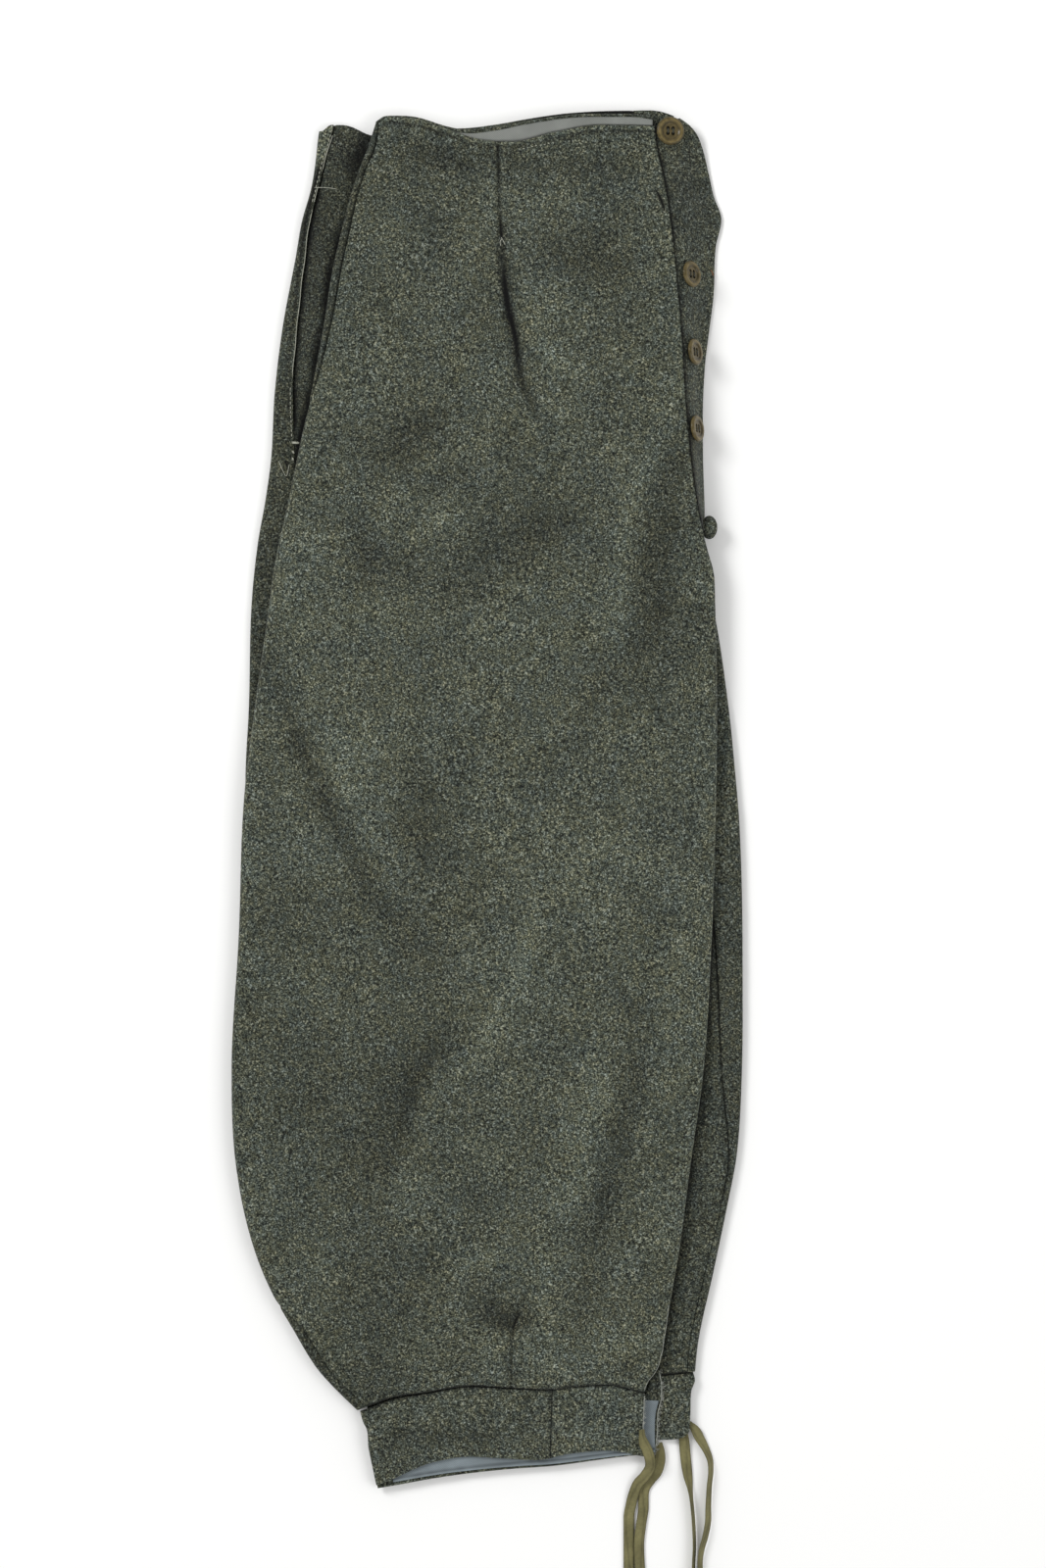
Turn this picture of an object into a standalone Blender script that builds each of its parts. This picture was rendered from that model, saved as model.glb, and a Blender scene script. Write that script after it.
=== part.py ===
"""Felted wool military trousers with banded, taped cuffs, folded lengthwise and laid flat.

Metres, +Z up. X runs across the folded garment and Y up it, from the cuffs to the waist.
The origin lies on the surface below the middle of the garment. From the top down the
layers are the right front, the right back, the left back and the left front.
Tables are in millimetres, and every solid is scaled to metres when its mesh is made.
"""
import math
from collections import namedtuple

import bmesh
import bpy
import numpy as np
from mathutils import Matrix, Vector

MM = 0.001

# Cloth
WOOL = 2.0            # wall of felted wool
PRESSED_WOOL = 1.8    # wall of the button stand
TWILL = 1.0           # wall of the linings
SEAM_GAP = 0.4        # clear space between pieces that touch
HEM_GAP = 0.9         # between a leg's hem and the cuff sewn to it
STAND_GAP = 0.6       # between the front's edge and the button stand
FOLD_RADIUS = 5.0     # roll of the upper leg's edges
BACK_INSET = 3.0      # how far the back lies inside the front's outer face
FOLD_ROOM = 2.6       # how much deeper it lies away from the edges, clear of the folds
LINING_DEPTH = 1.5    # how far the waist lining lies inside the front's outer face
EDGE_ZONE = 30.0      # width of the edge zone in which folds fade out
FOLD_END = 0.35       # share of a fold's height that is left at its two ends
FOLD_SPREAD = 1.6     # how much narrower than its full width a fold's bell is
ROW_CROWDING = 0.06   # how much closer the rows lie together at both ends of a leg

# The flat stack
LOWER_LEG_TOP = 4.3   # two walls of wool lying on each other
LEG_CLEARANCE = 0.8   # between the lower leg and the rounded body on it
RELAX = 45.0          # how far a puffed edge takes to settle to the flat stack
POCKET_STEP = 0.8     # how far the left back lies under the pocket's edge
RIM_LIFT = 3.0        # rounding of the hidden body's lower rim
END_ZONE = 0.2        # share of a leg's length in which its rows bend to the edge's shape
FRONT_STEPS = ((0, 1.6, 4.5, 10), (0, 0.7, 2.2, 5.5, 12))    # columns in from each edge
BACK_STEPS = ((0, 2.6, 8), (0, 2.6, 8))
LEFT_BACK_STEPS = ((0, 8, 18, 30), (0, 8, 18, 30))

# Sections across the upper leg. left, right: the leg's edges; front: where the front's
# cloth begins, inside the left edge; z_left, z_mid, z_right: height of the cloth;
# lean: angle at which the right edge ends, 90 for a full roll.
LegSection = namedtuple("LegSection", "y left front right z_left z_mid z_right lean")
UPPER_LEG = [
    LegSection(482.0, -81.0, -77.6, 118.5, 15.5, 15.5, 15.5, 25),
    LegSection(463.0, -87.2, -80.4, 120.6, 16.0, 16.5, 18.0, 30),
    LegSection(449.5, -92.5, -86.4, 123.4, 16.0, 17.5, 21.0, 35),
    LegSection(431.5, -98.6, -92.2, 126.8, 16.0, 18.0, 25.0, 35),
    LegSection(398.5, -107.0, -99.8, 131.3, 16.0, 18.5, 26.5, 35),
    LegSection(377.0, -111.9, -104.4, 133.6, 16.0, 19.0, 27.0, 35),
    LegSection(338.5, -118.0, -111.4, 137.0, 16.0, 19.5, 27.0, 35),
    LegSection(265.5, -131.8, -129.6, 142.0, 16.0, 20.5, 26.0, 35),
    LegSection(214.5, -142.4, -140.4, 148.0, 16.0, 21.0, 25.0, 40),
    LegSection(196.0, -146.4, -144.4, 151.5, 16.0, 21.0, 24.0, 50),
    LegSection(176.0, -150.9, -148.9, 156.5, 16.0, 21.0, 22.0, 70),
    LegSection(160.0, -153.8, -151.8, 161.0, 16.0, 21.0, 21.0, 85),
    LegSection(139.5, -156.5, -154.5, 162.0, 16.0, 21.0, 20.0, 90),
    LegSection(65.5, -166.8, -164.8, 163.5, 15.5, 21.0, 18.5, 90),
    LegSection(-1.0, -174.7, -172.7, 162.8, 15.0, 21.0, 18.0, 90),
    LegSection(-99.0, -178.5, -176.5, 159.8, 14.5, 20.5, 17.5, 90),
    LegSection(-195.5, -183.6, -181.6, 153.9, 14.5, 20.0, 17.0, 90),
    LegSection(-263.0, -180.5, -178.5, 144.6, 14.5, 20.0, 16.5, 90),
    LegSection(-322.0, -167.8, -165.8, 136.9, 14.5, 19.0, 16.0, 90),
    LegSection(-361.0, -151.3, -148.8, 130.2, 14.5, 18.0, 15.5, 90),
    LegSection(-381.0, -139.8, -130.8, 127.2, 14.5, 17.0, 15.0, 90),
    LegSection(-403.0, -126.8, -116.9, 123.4, 14.5, 15.5, 14.5, 90),
    LegSection(-411.0, -121.0, -111.0, 120.0, 14.5, 15.0, 14.3, 90),
    LegSection(-418.0, -114.8, -104.5, 114.5, 14.2, 14.2, 14.1, 90),
    LegSection(-426.0, -107.0, -96.3, 112.0, 14.0, 14.0, 14.0, 90),
    LegSection(-438.0, -94.6, -84.5, 111.5, 13.8, 13.8, 13.8, 90),
]

# Sections across the lower leg. seam_left, seam_right: where the front's cloth, wrapped up
# round each edge, meets the back; z_left, z_right: height of those wrapped edges.
LowerSection = namedtuple("LowerSection", "y left seam_left seam_right right z_left z_right")
LOWER_LEG = [
    LowerSection(490.0, -118.5, -109.0, 104.0, 133.0, 7.0, 5.5),
    LowerSection(475.0, -121.5, -111.0, 104.0, 134.0, 7.0, 5.5),
    LowerSection(453.0, -124.0, -117.5, 108.0, 143.0, 7.5, 5.5),
    LowerSection(435.5, -127.0, -121.8, 112.0, 149.0, 7.5, 5.5),
    LowerSection(412.5, -133.5, -127.5, 116.0, 154.0, 7.5, 5.5),
    LowerSection(386.5, -138.0, -131.0, 119.0, 154.0, 7.5, 5.5),
    LowerSection(338.5, -147.0, -136.5, 122.0, 150.5, 7.5, 5.5),
    LowerSection(289.5, -153.0, -140.0, 124.0, 147.0, 7.5, 5.5),
    LowerSection(243.0, -155.5, -138.5, 126.0, 146.0, 7.5, 5.5),
    LowerSection(213.5, -159.5, -138.0, 130.0, 147.0, 7.0, 5.5),
    LowerSection(182.5, -165.0, -138.5, 136.0, 149.0, 6.5, 6.0),
    LowerSection(139.5, -169.5, -141.0, 144.0, 160.5, 6.5, 6.5),
    LowerSection(65.5, -171.5, -144.0, 150.5, 172.0, 6.0, 7.5),
    LowerSection(11.0, -174.0, -145.5, 154.0, 177.5, 5.5, 7.5),
    LowerSection(-20.0, -171.5, -147.0, 156.0, 180.0, 5.0, 7.5),
    LowerSection(-116.5, -173.5, -149.0, 163.5, 182.2, 5.0, 7.5),
    LowerSection(-200.5, -178.5, -152.0, 167.6, 181.6, 5.0, 7.0),
    LowerSection(-256.5, -175.5, -149.0, 172.4, 178.0, 5.0, 7.0),
    LowerSection(-291.5, -170.5, -143.0, 167.0, 171.5, 5.0, 6.5),
    LowerSection(-342.5, -154.0, -127.0, 155.0, 160.8, 5.0, 6.5),
    LowerSection(-390.0, -128.0, -102.0, 144.5, 150.5, 5.0, 6.5),
    LowerSection(-434.0, -90.0, -76.0, 141.5, 146.5, 5.0, 6.0),
]

# Edges that run across the garment, from left to right, or down it
EdgePoint = namedtuple("EdgePoint", "x y")
FRONT_WAIST = [
    EdgePoint(-77.6, 481.5), EdgePoint(-72, 485.5), EdgePoint(-52, 484.8), EdgePoint(-29, 477.0),
    EdgePoint(-6, 469.5), EdgePoint(18, 468.2), EdgePoint(48, 475.0), EdgePoint(81, 480.2),
    EdgePoint(118.5, 479.5),
]
BACK_WAIST = [
    EdgePoint(-81.0, 482.6), EdgePoint(-72, 486.8), EdgePoint(-52, 486.1), EdgePoint(-29, 479.2),
    EdgePoint(-14, 476.8), EdgePoint(6, 479.0), EdgePoint(27, 483.2), EdgePoint(60, 487.7),
    EdgePoint(102, 488.2), EdgePoint(118.5, 486.0),
]
LOWER_WAIST = [
    EdgePoint(-118.5, 477.0), EdgePoint(-112, 481.5), EdgePoint(-100, 480.7), EdgePoint(-82, 474.0),
    EdgePoint(-50, 478.5), EdgePoint(-14, 479.6), EdgePoint(9, 482.6), EdgePoint(29, 486.2),
    EdgePoint(60, 490.4), EdgePoint(104, 491.8), EdgePoint(122, 491.5), EdgePoint(133.0, 488.0),
]
LEG_HEM = [
    EdgePoint(-94.6, -438.5), EdgePoint(-84.5, -434.8), EdgePoint(-68, -429.0),
    EdgePoint(-46, -425.5), EdgePoint(-12, -420.6), EdgePoint(16, -422.2), EdgePoint(46, -423.4),
    EdgePoint(56, -421.8), EdgePoint(85, -420.0), EdgePoint(106, -424.2), EdgePoint(111.5, -425.5),
]
LOWER_HEM = [
    EdgePoint(-90.0, -434.0), EdgePoint(-60, -424.0), EdgePoint(0, -416.5), EdgePoint(60, -415.0),
    EdgePoint(124, -413.7), EdgePoint(146.5, -411.3),
]
CUFF_HEM = [
    EdgePoint(-80.0, -492.3), EdgePoint(-68, -487.5), EdgePoint(-51, -479.6), EdgePoint(-39, -475.4),
    EdgePoint(-13, -471.6), EdgePoint(12, -472.8), EdgePoint(37, -474.0), EdgePoint(54, -470.0),
    EdgePoint(85, -467.2), EdgePoint(111.5, -471.5),
]
BACK_CUFF_HEM = [
    EdgePoint(-79.0, -492.8), EdgePoint(-68, -491.0), EdgePoint(-39, -486.0), EdgePoint(-13, -482.6),
    EdgePoint(17, -479.8), EdgePoint(46, -478.0), EdgePoint(85, -473.2), EdgePoint(119.5, -469.5),
]
LEFT_CUFF_HEM = [
    EdgePoint(-76.0, -484.0), EdgePoint(-39, -477.5), EdgePoint(46, -469.0), EdgePoint(119, -460.8),
    EdgePoint(136, -459.4), EdgePoint(141.5, -457.2), EdgePoint(144.0, -454.0),
]
CUFF_LEFT_SIDE = [
    EdgePoint(-91.5, -439.0), EdgePoint(-89.5, -446.5), EdgePoint(-86.8, -452.0),
    EdgePoint(-85.6, -465.0), EdgePoint(-83.2, -477.0), EdgePoint(-80.0, -492.3),
]
SLIT_FRONT_SIDE = [
    EdgePoint(111.5, -426.5), EdgePoint(110.6, -450.0), EdgePoint(111.5, -471.5),
]
SLIT_BACK_SIDE = [
    EdgePoint(121.8, -409.5), EdgePoint(124.4, -420.0), EdgePoint(124.0, -432.0),
    EdgePoint(121.8, -441.0), EdgePoint(121.2, -458.0), EdgePoint(119.5, -469.5),
]
LEFT_CUFF_SIDE = [
    EdgePoint(146.8, -412.2), EdgePoint(148.0, -417.0), EdgePoint(145.4, -425.0),
    EdgePoint(144.8, -440.0), EdgePoint(144.0, -454.0),
]
BACK_CUFF_TOP = [
    EdgePoint(-90.5, -441.5), EdgePoint(-40, -430.0), EdgePoint(40, -428.5),
    EdgePoint(100, -430.0), EdgePoint(112.9, -427.5), EdgePoint(115.6, -418.0),
    EdgePoint(119.0, -412.5), EdgePoint(122.2, -409.5),
]
LINING_TOP = [
    EdgePoint(-76, -441.0), EdgePoint(-40, -432.0), EdgePoint(40, -431.0),
    EdgePoint(112.0, -431.5), EdgePoint(122.0, -432.0),
]
LEFT_CUFF_LEFT_SIDE = [EdgePoint(-87.0, -436.0), EdgePoint(-76.0, -484.0)]
CUFF_SEAM = [EdgePoint(45.6, -424.0), EdgePoint(44.1, -473.0)]    # between band and tab

# The waist lining between its two ends, and how far it stays from the two waist edges
WAIST_LINING_SPAN = (-34.0, 112.0)
WAIST_LINING_FRONT_GAP = 0.9
WAIST_LINING_BACK_GAP = 2.4
WAIST_LINING_LEAST = 0.6      # its least width

# Heights of the cuffs' walls above the surface
LEFT_CUFF_FRONT_TOP = 2.0
LEFT_CUFF_BACK_TOP = 4.3
LEFT_CUFF_PUFF = 1.9          # rise where nothing lies on it
LEFT_CUFF_PUFF_EASE = 9.0     # width over which it is reached
RIGHT_CUFF_BACK_TOP = 6.7
CUFF_EAR_RISE = 1.6           # of the back wall, where it lies on the left leg
CUFF_EAR_RUN = 14.0
CUFF_EAR_START = 104.0        # x where the rise begins
CUFF_EAR_EASE = 8.0           # width over which it is reached
CUFF_LINING_TOP = 8.0
RIGHT_CUFF_TOP = 12.0
CUFF_MOUTH_DROP = 1.4         # how far the band sinks from its middle to its lower edge
CUFF_RADIUS = 4.0
CUFF_SIDE_LEAN = 80.0         # angle at which the band turns down at its left side
CUFF_SIDE_SHARE = 0.6         # how much of that roll a pressed band keeps
CUFF_BACK_SHIFT = (1.0, -2.5)     # of the back wall's left side from the band's
CUFF_LINING_INSET = (2.0, 2.5)    # of the lining from the slit and from the hem

# Folds of the upper leg: a crest or trough from one end to the other, bowed sideways in its
# middle. height: above the cloth, or below it where negative; width: to where it has faded.
Fold = namedtuple("Fold", "x0 y0 x1 y1 bow height width")
FOLDS = [
    Fold(12, 400, 34, 262, -8, -2.4, 22),       # crease below the waist dart
    Fold(40, 395, 62, 270, -6, 1.0, 28),        # cloth puffed beside it
    Fold(-152, 100, -38, -124, 14, -2.6, 28),   # long crease across the thigh
    Fold(-120, 120, -10, -110, 14, 1.6, 34),    # crest on its upper side
    Fold(18, -152, -60, -190, -4, -1.8, 22),
    Fold(-58, -190, -70, -262, 4, -2.0, 22),
    Fold(-30, -180, -44, -262, 4, 1.4, 26),
    Fold(110, -146, 66, -372, -6, -2.0, 26),    # trough down the inner calf
    Fold(84, -150, 36, -340, -6, 1.4, 32),
    Fold(134, 262, 120, 182, -4, -1.8, 22),     # pull below the fly
    Fold(92, 200, 86, 110, 4, 1.4, 32),
    Fold(-10, 248, -52, 208, 2, -1.6, 22),
    Fold(-60, 455, -6, 440, -4, -1.6, 22),      # slack below the waist edge
    Fold(16, 446, 92, 450, -4, -1.4, 22),
    Fold(72, 384, 102, 356, 2, -1.2, 28),
    Fold(18, -352, 22, -376, 0, -2.4, 22),      # hollow at the tip of the hem dart
    Fold(-70, -398, 90, -396, 4, 1.6, 22),      # cloth bloused over the cuff
]

# Sections of the button stand, from the waist down, along the front's edge and along its
# own free edge
StandSection = namedtuple("StandSection", "y outer_y outer z_outer")
BUTTON_STAND = [
    StandSection(478.5, 485.5, 137.0, 11.0),
    StandSection(474.0, 481.0, 143.5, 9.5),
    StandSection(469.0, 475.0, 149.0, 7.5),
    StandSection(462.0, 466.0, 153.0, 5.0),
    StandSection(447.0, 449.0, 157.5, 2.8),
    StandSection(431.0, 431.0, 161.5, 2.4),
    StandSection(414.0, 414.0, 167.0, 2.4),
    StandSection(394.0, 394.0, 163.0, 2.4),
    StandSection(360.0, 360.0, 161.5, 2.4),
    StandSection(331.5, 331.5, 158.0, 2.4),
    StandSection(311.0, 311.0, 155.5, 2.4),
    StandSection(273.0, 273.0, 153.8, 2.4),
    StandSection(240.0, 240.0, 154.0, 2.6),
    StandSection(204.0, 204.0, 155.5, 5.0),
]
STAND_BEND = 0.06         # how much the stand is rounded at its top and its foot
STAND_CROWDING = 1.25     # how much closer its rows lie together at the waist
EDGE_STEP = 0.7           # distance over which the slope of the front's edge is taken
FLY_END = (157.9, 192.8, 12.0)       # middle of the round end of the left fly
FLY_END_RADII = (5.6, 8.2, 4.4)
LEFT_FLY_ROWS = (468.0, 203.2)       # from the waist down to the round end
LEFT_FLY_FOOT = 7.2       # height at which it runs out under the stand
LEFT_FLY_CLEARANCE = 0.8  # between it and the stand's inner face
LEFT_FLY_INSET = 1.0      # from the front's edge to its own

# Buttons. tilt: fall to the right; turn: of the fall's direction about the vertical
ButtonPlace = namedtuple("ButtonPlace", "name radius x y tilt turn")
BUTTONS = [
    ButtonPlace("waist_button", 10.0, 129.5, 475.6, 12, 0),
    ButtonPlace("fly_button_1", 9.4, 143.0, 372.4, 50, 8),
    ButtonPlace("fly_button_2", 9.4, 145.2, 317.2, 60, 6),
    ButtonPlace("fly_button_3", 9.4, 146.6, 262.7, 63, 6),
]
BUTTON_THICK = 3.0
BUTTON_DISH_DEPTH = 0.9
BUTTON_HOLE_RADIUS = 1.1
BUTTON_HOLE_PITCH = 1.9   # from the middle to a hole's middle, along X and along Y
BUTTON_SIDES = 24
HOLE_SIDES = 8
BUTTON_STANDOFF = 1.3     # thread between the cloth and the button's underside
# Half section of a button, as shares of its radius and of its thickness
ButtonRing = namedtuple("ButtonRing", "radius height")
BUTTON_RINGS = [
    ButtonRing(0.72, 0.0), ButtonRing(1.0, 0.35), ButtonRing(1.0, 0.7), ButtonRing(0.9, 1.0),
    ButtonRing(0.66, 1.0), ButtonRing(0.54, 1.0 - BUTTON_DISH_DEPTH / BUTTON_THICK),
]

# Tie tapes: route on the middle of each tape, with its height over the surface and its
# turn about its own length, in degrees
TapePoint = namedtuple("TapePoint", "x y z turn")
TAPE_WIDTH = 7.6
TAPE_THICK = 0.8
TAPE_STEPS = 34
TAPES = {
    "tape_1": [
        TapePoint(109.6, -451.6, 14.4, 30), TapePoint(110.0, -457.4, 13.6, 20),
        TapePoint(111.4, -462.0, 13.0, 12), TapePoint(113.6, -466.5, 12.6, 0),
        TapePoint(115.6, -473.0, 11.4, 0), TapePoint(116.0, -478.0, 8.4, 0),
        TapePoint(114.7, -482.2, 5.8, 0), TapePoint(111.4, -487.3, 4.0, 0),
        TapePoint(107.1, -492.2, 3.2, 0), TapePoint(104.0, -500.2, 2.2, 0),
        TapePoint(102.2, -507.9, 1.2, 0), TapePoint(100.8, -517.7, 0.9, 0),
        TapePoint(100.8, -535.9, 0.9, 0), TapePoint(100.8, -550.6, 0.9, 0),
        TapePoint(101.4, -566.0, 0.9, 0), TapePoint(102.4, -578.0, 0.9, 0),
    ],
    "tape_2": [
        TapePoint(121.8, -462.6, 3.7, 0), TapePoint(123.2, -469.5, 3.2, 0),
        TapePoint(122.8, -477.0, 2.2, 0), TapePoint(120.6, -484.0, 1.2, 0),
        TapePoint(116.0, -489.6, 0.9, 0), TapePoint(112.2, -495.4, 0.9, 0),
        TapePoint(111.2, -502.0, 0.9, 0), TapePoint(111.2, -509.0, 1.1, 4),
        TapePoint(109.4, -522.0, 1.9, 14), TapePoint(108.0, -536.0, 1.9, 14),
        TapePoint(108.5, -550.6, 1.9, 14), TapePoint(109.6, -565.0, 1.9, 14),
        TapePoint(110.4, -578.0, 1.9, 14),
    ],
    "tape_3": [
        TapePoint(139.4, -454.4, 3.05, 0), TapePoint(140.4, -462.0, 2.4, 0),
        TapePoint(141.4, -473.0, 1.3, 4), TapePoint(142.8, -485.0, 2.3, 25),
        TapePoint(144.6, -496.0, 3.9, 60), TapePoint(146.0, -508.0, 4.1, 70),
        TapePoint(147.0, -520.0, 4.1, 70), TapePoint(147.6, -536.0, 4.1, 70),
        TapePoint(147.0, -550.6, 4.1, 70), TapePoint(146.8, -566.0, 4.1, 70),
        TapePoint(147.2, -578.0, 4.1, 70),
    ],
    "tape_4": [
        TapePoint(143.4, -448.6, 3.05, 0), TapePoint(147.8, -452.6, 3.4, 10),
        TapePoint(151.6, -459.5, 3.8, 30), TapePoint(156.0, -467.5, 4.0, 48),
        TapePoint(158.8, -475.0, 4.0, 55), TapePoint(159.3, -483.0, 4.0, 58),
        TapePoint(158.2, -494.0, 4.0, 58), TapePoint(157.5, -508.0, 4.0, 55),
        TapePoint(157.3, -519.0, 4.0, 52), TapePoint(155.4, -529.5, 4.0, 52),
        TapePoint(152.6, -540.0, 4.0, 55), TapePoint(151.6, -550.6, 4.0, 58),
        TapePoint(151.8, -566.0, 4.0, 58), TapePoint(152.6, -578.0, 4.0, 58),
    ],
}


def column(table, name):
    """One named column of a table, as an array."""
    return np.array([getattr(row, name) for row in table], float)


def smooth(keys, values, at):
    """Cubic curve through (keys, values), level where the values turn."""
    keys, values = np.asarray(keys, float), np.asarray(values, float)
    if keys[0] > keys[-1]:
        keys, values = keys[::-1], values[::-1]
    chord = np.diff(values) / np.diff(keys)
    slope = np.concatenate([chord[:1], (chord[1:] + chord[:-1]) / 2, chord[-1:]])
    turning = np.concatenate([[False], chord[1:] * chord[:-1] <= 0, [False]])
    slope[turning] = 0.0
    at = np.clip(np.asarray(at, float), keys[0], keys[-1])
    i = np.clip(np.searchsorted(keys, at) - 1, 0, len(keys) - 2)
    span = keys[i + 1] - keys[i]
    t = (at - keys[i]) / span
    return (values[i] * (1 + 2 * t) * (1 - t) ** 2 + values[i + 1] * t * t * (3 - 2 * t)
            + slope[i] * span * t * (1 - t) ** 2 - slope[i + 1] * span * t * t * (1 - t))


def along(table, name, y):
    """A column of a section table at height y."""
    return smooth(column(table, "y"), column(table, name), y)


def edge_y(points, x):
    """Height on the garment of a crosswise edge at x."""
    return smooth(column(points, "x"), column(points, "y"), x)


def edge_points(points, count):
    """Points evenly spaced along an edge given by a few of its points."""
    xy = np.stack([column(points, "x"), column(points, "y")], axis=1)
    run = np.concatenate([[0.0], np.cumsum(np.linalg.norm(np.diff(xy, axis=0), axis=1))])
    at = np.linspace(0.0, run[-1], count)
    return np.stack([smooth(run, xy[:, 0], at), smooth(run, xy[:, 1], at)], axis=1)


def roll(distance, radius, lean):
    """How far cloth has dropped at a distance from an edge that turns down by an angle."""
    reach = radius * np.sin(np.radians(lean))
    inside = np.clip(reach - distance, 0.0, radius)
    return radius - np.sqrt(radius ** 2 - inside ** 2)


def folds_at(x, y):
    """Height of all folds: a bell across each one, fading out towards its two ends."""
    total = np.zeros_like(x)
    for fold in FOLDS:
        dx, dy = fold.x1 - fold.x0, fold.y1 - fold.y0
        length = math.hypot(dx, dy)
        t = ((x - fold.x0) * dx + (y - fold.y0) * dy) / length ** 2
        side = ((x - fold.x0) * dy - (y - fold.y0) * dx) / length
        inside = np.clip(t, 0.0, 1.0)
        side = side - fold.bow * 4 * inside * (1 - inside)
        past = (t - inside) * length
        fade = FOLD_END + (1 - FOLD_END) * np.sin(np.pi * inside)
        reach = fold.width / FOLD_SPREAD
        total += fold.height * fade * np.exp(-(side ** 2 + past ** 2) / reach ** 2)
    return total


def edge_fade(x, y):
    """0 at the upper leg's side edges and 1 away from them."""
    left, right = along(UPPER_LEG, "left", y), along(UPPER_LEG, "right", y)
    return np.clip((x - left) / EDGE_ZONE, 0, 1) * np.clip((right - x) / EDGE_ZONE, 0, 1)


def upper_form(x, y):
    """Height of the upper leg without its folds, rolled down at its side edges."""
    left, right = along(UPPER_LEG, "left", y), along(UPPER_LEG, "right", y)
    z_left, z_mid, z_right = (along(UPPER_LEG, n, y) for n in ("z_left", "z_mid", "z_right"))
    s = (x - left) / (right - left)
    crown = z_left * (1 - s) * (1 - 2 * s) + z_mid * 4 * s * (1 - s) + z_right * s * (2 * s - 1)
    lean = along(UPPER_LEG, "lean", y)
    return crown - roll(x - left, FOLD_RADIUS, 90.0) - roll(right - x, FOLD_RADIUS, lean)


def settle(distance):
    """1 at a puffed edge, falling softly to 0 where the stack lies flat."""
    return 0.5 + 0.5 * np.cos(np.pi * np.clip(distance / RELAX, 0.0, 1.0))


def lower_height(x, y):
    """Height of the lower leg's top: puffed at its edges, flat between them."""
    from_left = x - along(LOWER_LEG, "seam_left", y)
    from_right = along(LOWER_LEG, "seam_right", y) - x
    rise_left = (along(LOWER_LEG, "z_left", y) - LOWER_LEG_TOP) * settle(from_left)
    rise_right = (along(LOWER_LEG, "z_right", y) - LOWER_LEG_TOP) * settle(from_right)
    return LOWER_LEG_TOP + rise_left + rise_right


def inset(grid, depth):
    """A grid moved inwards square to the run of each row, so that its ends stay in line."""
    run_x, run_z = np.gradient(grid[..., 0], axis=1), np.gradient(grid[..., 2], axis=1)
    size = np.hypot(run_x, run_z)
    return grid + np.stack([run_z / size, np.zeros_like(size), -run_x / size], axis=2) * depth


def material(name, colour, roughness):
    """A plain Principled finish."""
    mat = bpy.data.materials.new(name)
    mat.use_nodes = True
    shader = mat.node_tree.nodes["Principled BSDF"]
    shader.inputs["Base Color"].default_value = (*colour, 1.0)
    shader.inputs["Roughness"].default_value = roughness
    shader.inputs["Metallic"].default_value = 0.0
    return mat


def add_object(name, points, faces, mat):
    """An object of points given in millimetres, with its faces turned outwards."""
    mesh = bpy.data.meshes.new(name)
    mesh.from_pydata((np.asarray(points) * MM).tolist(), [], faces)
    bm = bmesh.new()
    bm.from_mesh(mesh)
    bmesh.ops.recalc_face_normals(bm, faces=bm.faces)
    bm.to_mesh(mesh)
    bm.free()
    mesh.shade_smooth()
    mesh.set_sharp_from_angle(angle=math.radians(40))
    mesh.materials.append(mat)
    obj = bpy.data.objects.new(name, mesh)
    bpy.context.collection.objects.link(obj)
    return obj


def slab(name, top, bottom, mat):
    """A closed solid between two grids of the same rows and columns, joined round the rim."""
    rows, cols = top.shape[:2]
    count = rows * cols
    faces = []
    for r in range(rows - 1):
        for c in range(cols - 1):
            a, b = r * cols + c, r * cols + c + 1
            d, e = a + cols, b + cols
            faces += [(a, b, e), (a, e, d)]
            faces += [(count + a, count + e, count + b), (count + a, count + d, count + e)]
    rim = (list(range(cols)) + [r * cols + cols - 1 for r in range(1, rows)]
           + [(rows - 1) * cols + c for c in range(cols - 2, -1, -1)]
           + [r * cols for r in range(rows - 2, 0, -1)])
    for a, b in zip(rim, rim[1:] + rim[:1]):
        faces.append((a, count + a, count + b, b))
    points = np.concatenate([top.reshape(-1, 3), bottom.reshape(-1, 3)])
    return add_object(name, points, faces, mat)


def lowered(grid, depth):
    """A grid moved straight down."""
    return grid - np.array([0.0, 0.0, 1.0]) * depth


def spread(start, end, start_steps, end_steps, count):
    """Columns from start to end: fixed steps at each side and even ones between."""
    first = start[:, None] + np.array(start_steps, float)
    last = end[:, None] - np.array(end_steps[::-1], float)
    t = np.linspace(0, 1, count + 2)[1:-1]
    middle = first[:, -1:] + (last[:, :1] - first[:, -1:]) * t
    return np.concatenate([first, middle, last], axis=1)


def rows_down(count):
    """Rows from 0 to 1, closer together towards both ends."""
    t = np.linspace(0.0, 1.0, count)
    return t - ROW_CROWDING * np.sin(2 * np.pi * t)


def side_rows(top, bottom, t):
    """Heights of the rows at their left and at their right ends."""
    y_left = top[0].y + (bottom[0].y - top[0].y) * t
    y_right = top[-1].y + (bottom[-1].y - top[-1].y) * t
    return y_left, y_right


def bent_rows(x, share, t, top, bottom):
    """Height of straight rows that take the shape of the edge near each end of the leg."""
    y_top = top[0].y + (top[-1].y - top[0].y) * share
    y_bottom = bottom[0].y + (bottom[-1].y - bottom[0].y) * share
    near_top = np.clip(1 - t / END_ZONE, 0, 1)[:, None] ** 2
    near_bottom = np.clip(1 - (1 - t) / END_ZONE, 0, 1)[:, None] ** 2
    return (y_top + (y_bottom - y_top) * t[:, None] + near_top * (edge_y(top, x) - y_top)
            + near_bottom * (edge_y(bottom, x) - y_bottom))


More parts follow.
